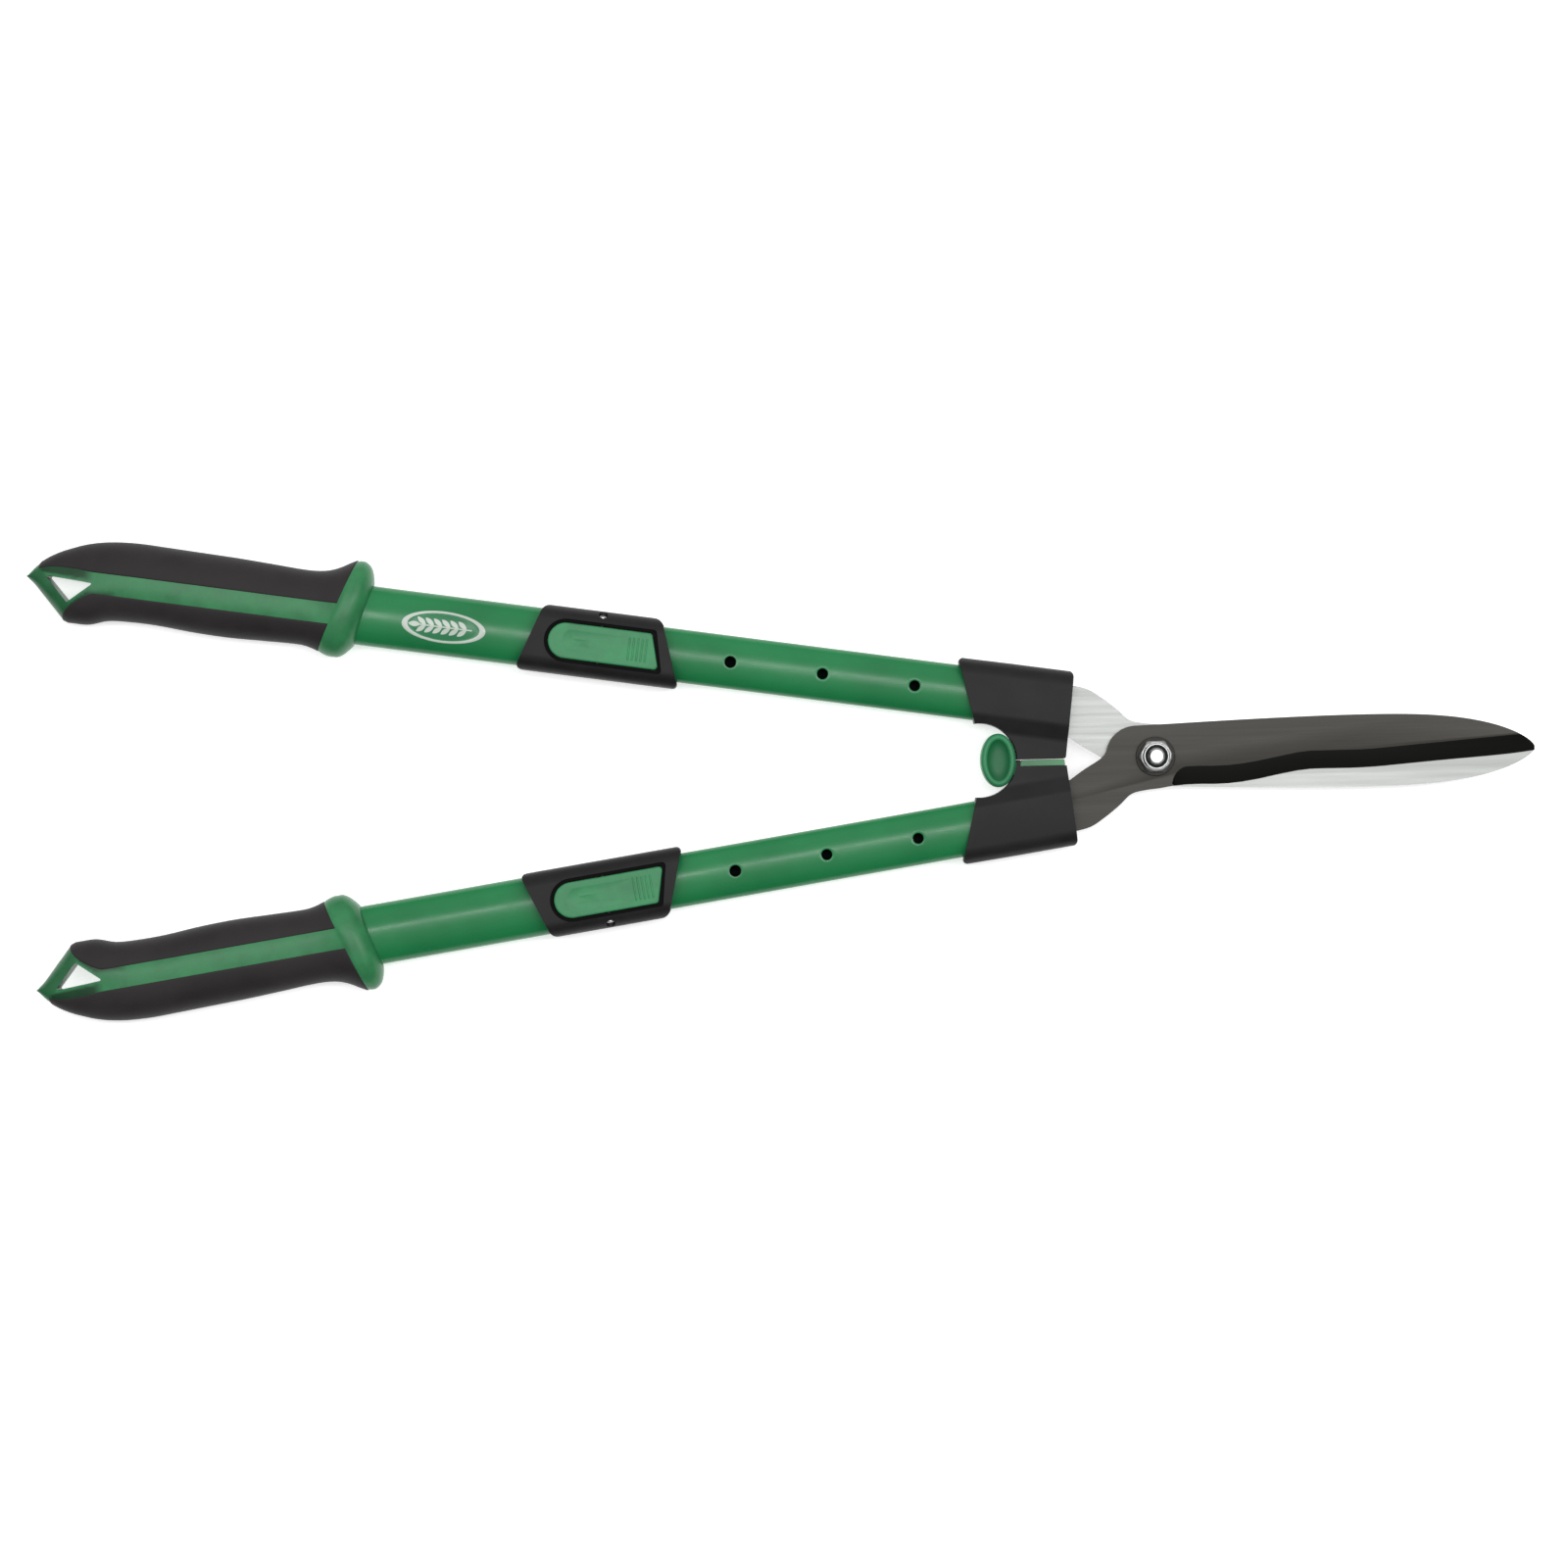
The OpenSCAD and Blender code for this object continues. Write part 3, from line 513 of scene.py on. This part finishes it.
def oval_tube(name, side, ends, w, h, holes, hole_r):
    """A tube wall with round holes in its top, whose rims are broken. Its inside has the second material,
    near black as painted shade.
    """
    stations = tube_stations(ends, holes)
    sizes = [(w - 2 * inward, h - 2 * inward) for inward in (0, WALL)]
    sections = [tube_section(*size) for size in sizes]
    width = len(sections[0])
    firsts = [0, len(stations) * width]  # each skin's first point
    verts = [(u, v, z) for section in sections for u in stations for v, z in section]
    rows = [stations.index(u - HOLE_PATCH) for u in holes]
    cells = range(PATCH_CELLS)
    open_cells = {(row + i) * width + k for row in rows for i in cells for k in cells}
    faces, slots = [], []
    for inside, first in enumerate(firsts):
        grid = grid_faces(len(stations), width, first)
        skin = [quad for cell, quad in enumerate(grid) if cell not in open_cells]
        faces += [quad[::-1] for quad in skin] if inside else skin
        slots += [inside] * len(skin)
    for u, row in zip(holes, rows):
        border = patch_border(row)
        angles = [math.atan2(sections[0][k][0], stations[i] - u) for i, k in border]
        edges = []
        for inside, first in enumerate(firsts):
            edge = [first + i * width + k for i, k in border]
            for wider, lower in HOLE_RINGS[inside]:
                ring = range(len(verts), len(verts) + len(border))
                for angle in angles:
                    x, y = (hole_r + wider) * math.cos(angle), (hole_r + wider) * math.sin(angle)
                    verts.append((u + x, y, oval_height(y, *sizes[inside]) - lower))
                quads = ring_faces(edge, ring)
                faces += quads if inside else [quad[::-1] for quad in quads]
                slots += [inside] * len(quads)
                edge = ring
            edges.append(edge)
        # These walls take no place in slots, so a few rings of the later holes have the other material
        faces += [(a, c, d, b) for a, b, d, c in ring_faces(*edges)]
    for row, end in ((0, ends[0]), (len(stations) - 1, ends[1])):
        rim = len(verts)
        verts += [(end, v * (1 - 0.5 / w), z * (1 - 0.5 / h)) for v, z in sections[0]]
        a, b = (first + row * width for first in firsts)
        for k in range(width):
            m = (k + 1) % width
            faces += [(a + k, rim + k, rim + m, a + m), (rim + k, b + k, b + m, rim + m)]
    slots += [0] * (len(faces) - len(slots))
    mesh = facing_out(mesh_from(name, verts, faces, HANDLE[side], slots))
    return add_object(name, smoothed(mesh, 40))


def tubes(side):
    inner = oval_tube(f"{side}_inner_tube_piece", side, INNER_ENDS, INNER_W, INNER_H, HOLES, HOLE_R)
    outer = oval_tube(f"{side}_outer_tube_piece", side, OUTER_ENDS, OUTER_W, OUTER_H, HOLES[-1:],
                      TOOTH_HOLE_R)
    stand_for(inner, f"{side}_inner_tube", [GREEN, TUBE_INSIDE_SHADE])
    stand_for(outer, f"{side}_outer_tube", [GREEN, TUBE_INSIDE_SHADE])


# ---- Grips ----

# Place along the grip, palm side, finger side, half thickness, and slant of the ring
GRIP = [
    (346, 18.4, -18.0, 12.6, -0.20), (347.5, 22.6, -20.5, 15.0, -0.20), (350, 27.2, -23.4, 17.2, -0.19),
    (353.5, 30.0, -25.3, 18.4, -0.17), (357.5, 30.3, -25.5, 18.5, -0.16), (361, 28.3, -24.9, 18.0, -0.15),
    (366, 24.6, -23.4, 17.1, -0.12), (372, 22.2, -21.8, 16.3, -0.08), (380, 21.4, -20.9, 15.9, 0),
    (400, 22.2, -21.5, 16.0, 0), (420, 23.0, -22.2, 16.3, 0), (440, 23.4, -21.8, 16.4, 0),
    (460, 23.8, -20.6, 16.3, 0), (475, 24.0, -20.6, 16.0, 0), (488, 23.2, -21.6, 15.5, 0),
    (498, 21.6, -24.9, 14.6, 0), (506, 19.4, -25.3, 13.8, 0), (512, 17.0, -24.7, 13.0, 0),
    (519, 13.8, -18.4, 11.8, 0), (526, 9.4, -11.6, 10.2, 0), (531, 4.8, -6.8, 8.4, 0),
    (534.5, 0.1, -4.1, 6.4, 0), (536, -1.8, -2.8, 4.5, 0)]
SQUARE = 0.84  # below 1, a ring is squarer than an ellipse
INSIDE, PALM_INSET = 0.996, 0.12  # these keep the curve between stations inside the CAD's flats
THIN, DEEPEST = 0.75, 0.4  # a skin's depth at the top, as a share of that at the sides; the least size left


def grip_row(place):
    """The grip's measures at a place along it, on a smooth curve through its stations."""
    place = min(max(place, GRIP[0][0]), GRIP[-1][0])
    i = max(k for k in range(len(GRIP) - 1) if GRIP[k][0] <= place)
    a, b = GRIP[i], GRIP[i + 1]
    before, after = GRIP[max(i - 1, 0)], GRIP[min(i + 2, len(GRIP) - 1)]
    span = b[0] - a[0]
    t = (place - a[0]) / span
    row = [place]
    for k in range(1, 5):
        slope_a = (b[k] - before[k]) / (b[0] - before[0]) * span
        slope_b = (after[k] - a[k]) / (after[0] - a[0]) * span
        row.append((2 * t**3 - 3 * t**2 + 1) * a[k] + (t**3 - 2 * t**2 + t) * slope_a
                   + (3 * t**2 - 2 * t**3) * b[k] + (t**3 - t**2) * slope_b)
    for k, limit in ((1, max), (2, min), (3, max)):
        widest = INSIDE * limit(station[k] for station in GRIP)
        row[k] = min(row[k], widest) if limit is max else max(row[k], widest)
    row[1] -= PALM_INSET
    return row


def grip_point(place, angle, skin=0.0):
    """A point skin millimetres below the grip's surface. Angle 0 is the palm side, and 90 degrees the top."""
    u, palm, finger, half_z, slant = grip_row(place)
    c, s = math.cos(angle), math.sin(angle)
    half_v = max((palm - finger) / 2 - skin, DEEPEST * (palm - finger) / 2)
    half_z = max(half_z - THIN * skin, DEEPEST * half_z)
    v = (palm + finger) / 2 + half_v * math.copysign(abs(c) ** SQUARE, c)
    return (u + slant * v, v, half_z * math.copysign(abs(s) ** SQUARE, s))


def angle_at(place, v):
    """The angle at which the grip's surface stands over a place v from the handle's axis."""
    _, palm, finger, _, _ = grip_row(place)
    c = max(-1.0, min(1.0, (v - (palm + finger) / 2) * 2 / (palm - finger)))
    return math.acos(math.copysign(abs(c) ** (1 / SQUARE), c))


def eased(count, margins):
    """Even steps from 0 to 1, with margins, in shares of the whole, added near both ends."""
    inner = [margins[-1] + (1 - 2 * margins[-1]) * i / count for i in range(1, count)]
    return [*margins, *inner, *(1 - m for m in reversed(margins))]


# A pad's edge: millimetres from its border, and the share of EDGE_DROP that it lies below the grip's surface
EDGE_STEPS = ((0, 1.0), (0.12, 0.5), (0.35, 0.2), (0.75, 0.04), (1.2, 0))
EDGE_DROP = 0.7
PAD_ROWS, PAD_COLUMNS = 60, 44
PAD_SKIN = PAD_T - 0.05  # a pad's inner face, a little above the core
MID_GRIP, PASSES = 430.0, 6  # where the search for a pad's point starts, and enough passes for it to settle


def pad_mesh(start, end, first_angle, last_angle, length, girth):
    """A soft pad: a shell over part of the grip, with a rounded border. start and end give its ends at v."""
    ts = eased(PAD_ROWS, [place / length for place, _ in EDGE_STEPS])
    ss = eased(PAD_COLUMNS, [place / girth for place, _ in EDGE_STEPS])
    drops = [drop for _, drop in EDGE_STEPS]

    def drop(index, total):
        near = min(index, total - 1 - index)
        return drops[near] if near < len(drops) else 0

    verts = []
    for inside in (False, True):
        for i, t in enumerate(ts):
            for k, s in enumerate(ss):
                place = MID_GRIP
                for _ in range(PASSES):
                    a = first_angle(place) + (last_angle(place) - first_angle(place)) * s
                    v = grip_point(place, a)[1]
                    slant = grip_row(place)[4]
                    place = start(v) + (end(v) - start(v)) * t - slant * v
                skin = PAD_SKIN if inside else EDGE_DROP * max(drop(i, len(ts)), drop(k, len(ss)))
                verts.append(grip_point(place, a, skin))
    n, w = len(ts), len(ss)
    outer = grid_faces(n, w, 0, closed=False)
    inner = [f[::-1] for f in grid_faces(n, w, n * w, closed=False)]
    rim = list(range(w)) + [i * w + w - 1 for i in range(1, n)]
    rim += [(n - 1) * w + k for k in range(w - 2, -1, -1)] + [i * w for i in range(n - 2, 0, -1)]
    walls = ring_faces(rim, [n * w + k for k in rim])
    return verts, outer + inner + walls


def step_up(place, middle, width):
    """A smooth step from 0 to 1."""
    return 1 / (1 + math.exp(-(place - middle) / width))


def palm_border(place):
    """How far from the handle's axis the palm pad begins: it gives way to the hanging eye."""
    return PALM_EDGE + 1.1 * step_up(place, 503, 2.0) - 3.2 * step_up(place, 527, 2.4)


def guard_end(v):
    return GUARD_LINE + GUARD_SLANT * v


def finger_end(v):
    """The finger pad's end, which curves down round the hanging eye."""
    nearest, curve_u, curve_v = 496, 17.5, 17
    t = min(1.0, max(0.0, (FINGER_EDGE - v) / curve_v))
    return nearest + curve_u * math.sin(math.pi / 2 * t) ** 0.8


def palm_pad():
    return pad_mesh(guard_end, lambda v: PALM_PAD_END, lambda p: -angle_at(p, palm_border(p)),
                    lambda p: angle_at(p, palm_border(p)), length=168, girth=52)


def finger_pad():
    return pad_mesh(guard_end, finger_end, lambda p: angle_at(p, FINGER_EDGE),
                    lambda p: 2 * math.pi - angle_at(p, FINGER_EDGE), length=142, girth=44)


def core_point(place, angle):
    """A point of the core, which drops a little just before the pads' slanting ends at the guard."""
    u, v, _ = grip_point(place, angle)
    drop, before, run = 0.45, 1.1, 1.2
    return grip_point(place, angle, drop * min(1, max(0, (u - guard_end(v) + before) / run)))


def grip_core_mesh():
    steps, points = 190, 96
    places = [GRIP[0][0] + (GRIP[-1][0] - GRIP[0][0]) * i / steps for i in range(steps + 1)]
    return loft([[core_point(p, math.radians(360 * k / points)) for k in range(points)] for p in places])


def rounded_corners(points, radius, steps=6):
    """A polygon's points with its corners rounded."""
    out = []
    for i, p in enumerate(points):
        p = Vector(p)
        a = (Vector(points[i - 1]) - p).normalized()
        b = (Vector(points[(i + 1) % len(points)]) - p).normalized()
        half = math.acos(a.dot(b)) / 2
        centre = p + (a + b).normalized() * radius / math.sin(half)
        fa, fb = p + a * radius / math.tan(half) - centre, p + b * radius / math.tan(half) - centre
        turn = math.atan2(fa.x * fb.y - fa.y * fb.x, fa.dot(fb))
        start = math.atan2(fa.y, fa.x)
        angles = [start + turn * k / steps for k in range(steps + 1)]
        out += [centre + radius * Vector((math.cos(a), math.sin(a))) for a in angles]
    return out


def prism_faces(n):
    """The faces of a straight-sided solid whose lower and upper outlines have n points each."""
    sides = [(k, (k + 1) % n, n + (k + 1) % n, n + k) for k in range(n)]
    return [tuple(range(n))[::-1], tuple(range(n, 2 * n)), *sides]


def prism(name, outline, low, high):
    """A straight-sided solid over an outline, in millimetres."""
    verts = [(p[0], p[1], z) for z in (low, high) for p in outline]
    return add_object(name, facing_out(mesh_from(name, verts, prism_faces(len(outline)))))


def rod(name, radius, start, end, place, sideways=False):
    """A round cutter, upright or across the handle."""
    outline = [(radius * math.cos(a), radius * math.sin(a)) for a in around(48)]
    piece = prism(name, outline, start, end)
    if sideways:
        piece.data.transform(Matrix.Rotation(-math.pi / 2, 4, "X"))
    piece.data.transform(Matrix.Translation(place))
    return piece


def cut(piece, *cutters):
    """Takes solids out of a piece, and then removes them."""
    for cutter in cutters:
        boolean = piece.modifiers.new("cut", "BOOLEAN")
        boolean.operation, boolean.solver, boolean.object = "DIFFERENCE", "EXACT", cutter
    evaluated = piece.evaluated_get(bpy.context.evaluated_depsgraph_get())
    mesh = bpy.data.meshes.new_from_object(evaluated)
    piece.modifiers.clear()
    piece.data = mesh
    for cutter in cutters:
        bpy.data.objects.remove(cutter)


def taken_apart(piece):
    """A piece's points and faces, and the piece is removed."""
    verts = [v.co[:] for v in piece.data.vertices]
    faces = [p.vertices[:] for p in piece.data.polygons]
    bpy.data.objects.remove(piece)
    return verts, faces


def eye_shade(u, v):
    """How much painted shade darkens the core beside the hanging eye, where it drops to the pads, and past
    its end.

    Each term is a distance from where the shade begins, over the width in which it reaches its full depth."""
    tip, inner, low = (Vector(p) for p in EYE)
    past_top = v - (inner.y + (tip.y - inner.y) * (u - inner.x) / (tip.x - inner.x))
    palm = min((past_top - 0.6) / 1.4, (u - inner.x) / 6, (tip.x + 6 - u) / 4)
    along = (low - inner).normalized()
    past_low = (Vector((u, v)) - inner).dot(Vector((along.y, -along.x)))
    finger = min((past_low - 0.8) / 1.4, (-5 - v) / 3, (low.x - u) / 3, (u - inner.x + 14) / 6)
    across = (low - tip).normalized()
    past_end = (Vector((u, v)) - tip).dot(Vector((-across.y, across.x)))
    end = min(0.55, (past_end + 1) / 2)
    return min(1.0, max(0.0, palm, finger, end))


def grip_core_solid():
    """The core with the hanging eye, the tube's bore and the screw's hole cut out: points and faces."""
    core = add_object("core", facing_out(mesh_from("core", *grip_core_mesh())))
    eye = prism("eye", rounded_corners(EYE, 0.8), -40, 40)
    bore = prism("bore", [oval_point(a, OUTER_W, OUTER_H) for a in around(96)], 300, OUTER_ENDS[1])
    bore.data.transform(Matrix(((0, 0, 1, 0), (1, 0, 0, 0), (0, 1, 0, 0), (0, 0, 0, 1))))
    head_r, head_z, screw_r = 3.7, -12.8, 2.05
    cut(core, eye, bore, rod("head_hole", head_r, -40, head_z, (GRIP_SCREW_U, 0, 0)),
        rod("screw_hole", screw_r, -14, -5, (GRIP_SCREW_U, 0, 0)))
    return taken_apart(core)


def grips():
    parts = {"grip_core": (*grip_core_solid(), GRIP_GREEN),
             "palm_pad": (*palm_pad(), PAD), "finger_pad": (*finger_pad(), PAD)}
    for side in SIDES:
        for part, (verts, faces, material) in parts.items():
            name = f"{side}_{part}"
            mesh = facing_out(mesh_from(f"{name}_mesh", verts, faces, HANDLE[side]))
            if part == "grip_core":
                # painted shade beside the hanging eye, as a value at each point
                values = [eye_shade(u, v) for u, v, _ in verts]
                mesh.attributes.new("shade", "FLOAT", "POINT").data.foreach_set("value", values)
            stand_for(add_object(f"{name}_piece", smoothed(mesh, 50)), name, [material])


# ---- Bumper ----

BUMPER_AT, BUMPER_HALF_U, BUMPER_HALF_V, BUMPER_HALF_Z = (-88.2, 0.2), 9.8, 15, 10
BUMPER_STEM, BUMPER_STEM_HALF_Z = [(-84, 1.5), (-76.1, 1.5), (-76.1, 8.5), (-84, 8.5)], 6.9
# From the dish's middle over the rim to the side: millimetres in from the outline, and above BUMPER_HALF_Z
DISH = [(9.4, -2.6), (7.6, -2.5), (5.8, -2.1), (4.4, -1.4), (3.4, -0.6), (2.8, -0.15), (2.2, 0), (1.4, -0.1),
        (0.7, -0.5), (0.2, -1.1), (0, -1.9)]
DISH_ROWS = 4  # how many rows of faces at each end are darkened as painted shade in the dish


def bumper():
    """A bumper with a dished oval head above and below, and a short stem into the lower socket."""
    steps = 72
    rings = []
    for top, profile in ((1, DISH), (-1, DISH[::-1])):
        for inset, z in profile:
            half_u, half_v = BUMPER_HALF_U - inset, BUMPER_HALF_V - inset
            rings.append([(BUMPER_AT[0] + half_u * math.cos(a), BUMPER_AT[1] + half_v * math.sin(a),
                           top * (BUMPER_HALF_Z + z)) for a in around(steps)])
    verts, faces = loft(rings)
    stem = rounded_corners(BUMPER_STEM, 0.6)
    first, n = len(verts), len(stem)
    verts += [(p[0], p[1], z) for z in (-BUMPER_STEM_HALF_Z, BUMPER_STEM_HALF_Z) for p in stem]
    faces += [tuple(first + k for k in face) for face in prism_faces(n)]
    rows = len(rings) - 1
    # the dish's faces take the darker green of painted shade
    dish = {*range(DISH_ROWS * steps), *range((rows - DISH_ROWS) * steps, rows * steps + 2)}
    slots = [int(i in dish) for i in range(len(faces))]
    mesh = facing_out(mesh_from("bumper", verts, faces, FLIPPED, slots))
    stand_for(add_object("shock_bumper_piece", smoothed(mesh, 50)), "shock_bumper", [SOFT_GREEN, DISH_SHADE_GREEN])


# ---- Button ----

BUTTON_HALF_W, BUTTON_END, BUTTON_UNDER, BUTTON_TOP = 10, 241, 15.5, 18.8
BUTTON_FRONT = (183.6, 177.8)  # the slanted end's place at one side and at the other
SCOOP_U, SCOOP_R, SCOOP_DEPTH = 226, 30, 0.9
SPRING_U, TOOTH_U = 231, HOLES[-1] - 0.4
# Rings up the button's side, and up a rib: millimetres in from the outline, and height
BUTTON_EDGE = ((0.3, BUTTON_UNDER), (0, BUTTON_UNDER + 0.3), (0, 18.0), (0.08, 18.32), (0.25, 18.56),
               (0.5, 18.72), (0.85, BUTTON_TOP))
RIB_EDGE = ((0, BUTTON_TOP - 0.2), (0, BUTTON_TOP + 0.15), (0.1, BUTTON_TOP + 0.32), (0.28, BUTTON_TOP + 0.4))
RIB_U, RIB_STEP, RIB_W, RIB_HALF_L = 185.4, 2.4, 1, 6.5
HUB = [(1.55, -9.5), (2.5, -9.5), (2.8, -9.2), (2.8, 9.2), (2.5, 9.5), (1.55, 9.5)]  # radius, place across


def button_ring(inset):
    """The button's outline from above: round at the grip's end and slanted at the blades' end."""
    w, c = BUTTON_HALF_W - inset, BUTTON_END - BUTTON_HALF_W
    arc = [(c + w * math.cos(a), w * math.sin(a)) for a in (math.pi * (k / 40 - 0.5) for k in range(41))]
    steps = 6
    front_a, front_b = (u + inset for u in BUTTON_FRONT)
    corners = rounded_corners([(c, w), (front_a, w), (front_b, -w), (c, -w)], 2, steps)
    return arc + [tuple(p) for p in corners[steps + 1:3 * (steps + 1)]]


def button_body():
    """The button with its scooped top, and with the holes for its pin, spring and tooth: points and faces."""
    rings = [[(x, y, z) for x, y in button_ring(inset)] for inset, z in BUTTON_EDGE]
    top = rings[-1]
    steps, last = 26, 0.985
    for t in [i / steps for i in range(1, steps)] + [last]:
        ring = []
        for x, y, _ in top:
            x, y = x + (SCOOP_U - x) * t, y * (1 - t)
            reach = math.hypot(x - SCOOP_U, y)
            scoop = BUTTON_TOP - SCOOP_DEPTH + SCOOP_R - math.sqrt(SCOOP_R**2 - min(reach, SCOOP_R)**2)
            ring.append((x, y, min(BUTTON_TOP, scoop)))
        rings.append(ring)
    body = add_object("button", facing_out(mesh_from("button", *loft(rings))))
    below = BUTTON_UNDER - 1
    cut(body, rod("pin_bore", HUB[0][0], -30, 30, (PIN_U, 0, PIN_Z), sideways=True),
        rod("spring_pocket", 3.3, below, BUTTON_UNDER + 1.4, (SPRING_U, 0, 0)),
        rod("tooth_socket", 1.9, below, BUTTON_UNDER + 1.6, (TOOTH_U, 0, 0)))
    return taken_apart(body)


def button_hub():
    """The sleeve round the button's pin: points and faces."""
    steps, count = 48, len(HUB)
    verts = [(PIN_U + r * math.cos(a), v, PIN_Z + r * math.sin(a)) for a in around(steps) for r, v in HUB]
    corners = ((0, 0), (1, 0), (1, 1), (0, 1))
    faces = [tuple((n + i) % steps * count + (m + k) % count for i, k in corners)
             for n in range(steps) for m in range(count)]
    return verts, faces


def button_rib(low_u):
    rings = []
    for inset, z in RIB_EDGE:
        u0, u1, v1 = low_u + inset, low_u + RIB_W - inset, RIB_HALF_L - inset
        outline = rounded_corners([(u0, -v1), (u1, -v1), (u1, v1), (u0, v1)], 0.45 - inset, 5)
        rings.append([(*p, z) for p in outline])
    return loft(rings)


def button_mesh():
    verts, faces = button_body()
    for more_verts, more_faces in (button_hub(), *(button_rib(RIB_U + RIB_STEP * i) for i in range(5))):
        first = len(verts)
        verts += more_verts
        faces += [tuple(first + k for k in face) for face in more_faces]
    return verts, faces


def buttons():
    verts, faces = button_mesh()
    for side in SIDES:
        mesh = facing_out(mesh_from(f"{side}_button_mesh", verts, faces, HANDLE[side]))
        stand_for(add_object(f"{side}_button_piece", smoothed(mesh, 40)), f"{side}_button", [BUTTON_GREEN])


PIN_HEAD_V = 14.5  # where the button pin's head begins


def button_pin(side):
    """The pin is blacked but for its head."""
    piece = copy_of(f"{side}_button_pin", [STEEL, BLACKED], 0.2)
    back = HANDLE[side].inverted()
    for polygon in piece.data.polygons:
        if (back @ polygon.center).y < PIN_HEAD_V:
            polygon.material_index = 1


# ---- Label ----

LABEL_U, LABEL_V, LABEL_HALF_U, LABEL_HALF_V = 300, -1.2, 23.6, 8.8
# Rings from the middle outwards: share of the label's size, and height over the tube in mm
LABEL_RINGS = ((0.02, 0.1), (0.2, 0.1), (0.4, 0.1), (0.6, 0.1), (0.76, 0.1), (0.86, 0.1), (0.87, 0.16),
               (0.95, 0.16), (0.98, 0.14), (1.0, 0.02))
FIELD_ROWS = 5  # how many rows of faces are green
TWIG = [(-16, -0.35), (14, -0.35), (14, 0.35), (-16, 0.35)]


def on_label(u, v, lift):
    return (LABEL_U + u, LABEL_V + v, oval_height(LABEL_V + v, OUTER_W, OUTER_H) + lift)


def leaf(root, turn, length, width):
    """The outline of a pointed leaf on the label."""
    c, s = math.cos(math.radians(turn)), math.sin(math.radians(turn))
    sides = [(t, sign) for sign, ts in ((1, range(13)), (-1, range(11, 0, -1))) for t in ts]
    outline = []
    for t, sign in sides:
        along, across = length * t / 12, width / 2 * sign * math.sin(math.pi * t / 12) ** 0.8
        outline.append((root[0] + along * c - across * s, root[1] + along * s + across * c))
    return outline


def label():
    """An oval sticker: a pale rim round a green field, with a plain twig of leaves."""
    verts = []
    steps = 96
    for scale, lift in LABEL_RINGS:
        half_u, half_v = LABEL_HALF_U * scale, LABEL_HALF_V * scale
        verts += [on_label(half_u * math.cos(a), half_v * math.sin(a), lift) for a in around(steps)]
    faces = grid_faces(len(LABEL_RINGS), steps)
    slots = [int(i < FIELD_ROWS) for i in range(len(LABEL_RINGS) - 1) for _ in range(steps)]
    faces.append(tuple(range(steps)))
    slots.append(1)
    shapes = [TWIG, leaf((13, 0), 0, 7, 3)]
    for i in range(6):
        u = -13 + 4.6 * i
        shapes += [leaf((u, 0.2), 38, 6.4, 2.6), leaf((u, -0.2), -38, 6.4, 2.6)]
    for shape in shapes:
        first = len(verts)
        verts += [on_label(x, y, 0.16) for x, y in shape]
        faces.append(tuple(range(first, first + len(shape))))
        slots.append(0)
    mesh = mesh_from("label", verts, faces, HANDLE["upper"], slots)
    for polygon in mesh.polygons:
        if polygon.normal.z < 0:
            polygon.flip()
    stand_for(add_object("upper_label_piece", smoothed(mesh, 60)), "upper_label", [LABEL_WHITE, LABEL_GREEN])


# ---- Blades ----

UPRIGHT, FLAT = 0.05, 0.99  # a face's normal along Z: the bevel lies between these


def blade(node, face, ground, outward):
    """A blade with its ground bevel in a second material: near black painted shade on the front blade,
    brighter ground steel on the rear. outward is +1 on the front and -1 on the back.
    """
    piece = copy_of(node, [face, ground], bevel=0.3, angle=40, segments=2)
    for polygon in piece.data.polygons:
        if UPRIGHT < polygon.normal.z * outward < FLAT:
            polygon.material_index = 1


# ---- Everything else keeps the CAD's shape, with its edges rounded ----

HARD = {"socket": (BLACK, 1.0), "collar_screw": (STEEL, 0.12), "grip_screw": (STEEL, 0.12),
        "lock_tooth": (STEEL, 0.1), "tang_rivets": (STEEL, 0.15), "tube_bush": (WHITE_PLASTIC, 0.3)}
LEDGE_Z, POCKET_Z = 16.9, 12.3  # above the pivot: the ledge round a button, and the bottom of its pocket


def collar(side):
    """A lock collar, with painted shade: the ledge and the walls of the recess round its button in a darker
    black.
    """
    piece = copy_of(f"{side}_lock_collar", [BLACK, RECESS_SHADE], 0.7)
    ledge, bottom = PIVOT.z + LEDGE_Z * MM, PIVOT.z + POCKET_Z * MM
    for polygon in piece.data.polygons:
        z = polygon.center.z
        on_ledge = abs(z - ledge) < 0.05 * MM
        in_pocket = abs(polygon.normal.z) < 0.1 and bottom < z < ledge
        if on_ledge or in_pocket:
            polygon.material_index = 1


look_straight_down()
studio()
blade("front_blade", COATED, GROUND_SHADE, 1)
blade("rear_blade", BRIGHT, GROUND_BRIGHT, -1)
copy_of("pivot_bolt", [STEEL], 0.2)
copy_of("pivot_washer", [BLACKED], 0.3)
copy_of("pivot_nut", [STEEL], 0.3)
copy_of("nut_nylon_ring", [NYLON_AND_SHADE], 0.15)
copy_of("stop_pad", [STRIP_GREEN], 0.4)
bumper()
for side in SIDES:
    tubes(side)
    collar(side)
    button_pin(side)
    for part, (material, bevel) in HARD.items():
        copy_of(f"{side}_{part}", [material], bevel)
    spring_looks = frame["nodes"][f"{side}_button_spring"].data.materials
    spring_looks.clear()
    spring_looks.append(STEEL)
buttons()
grips()
label()
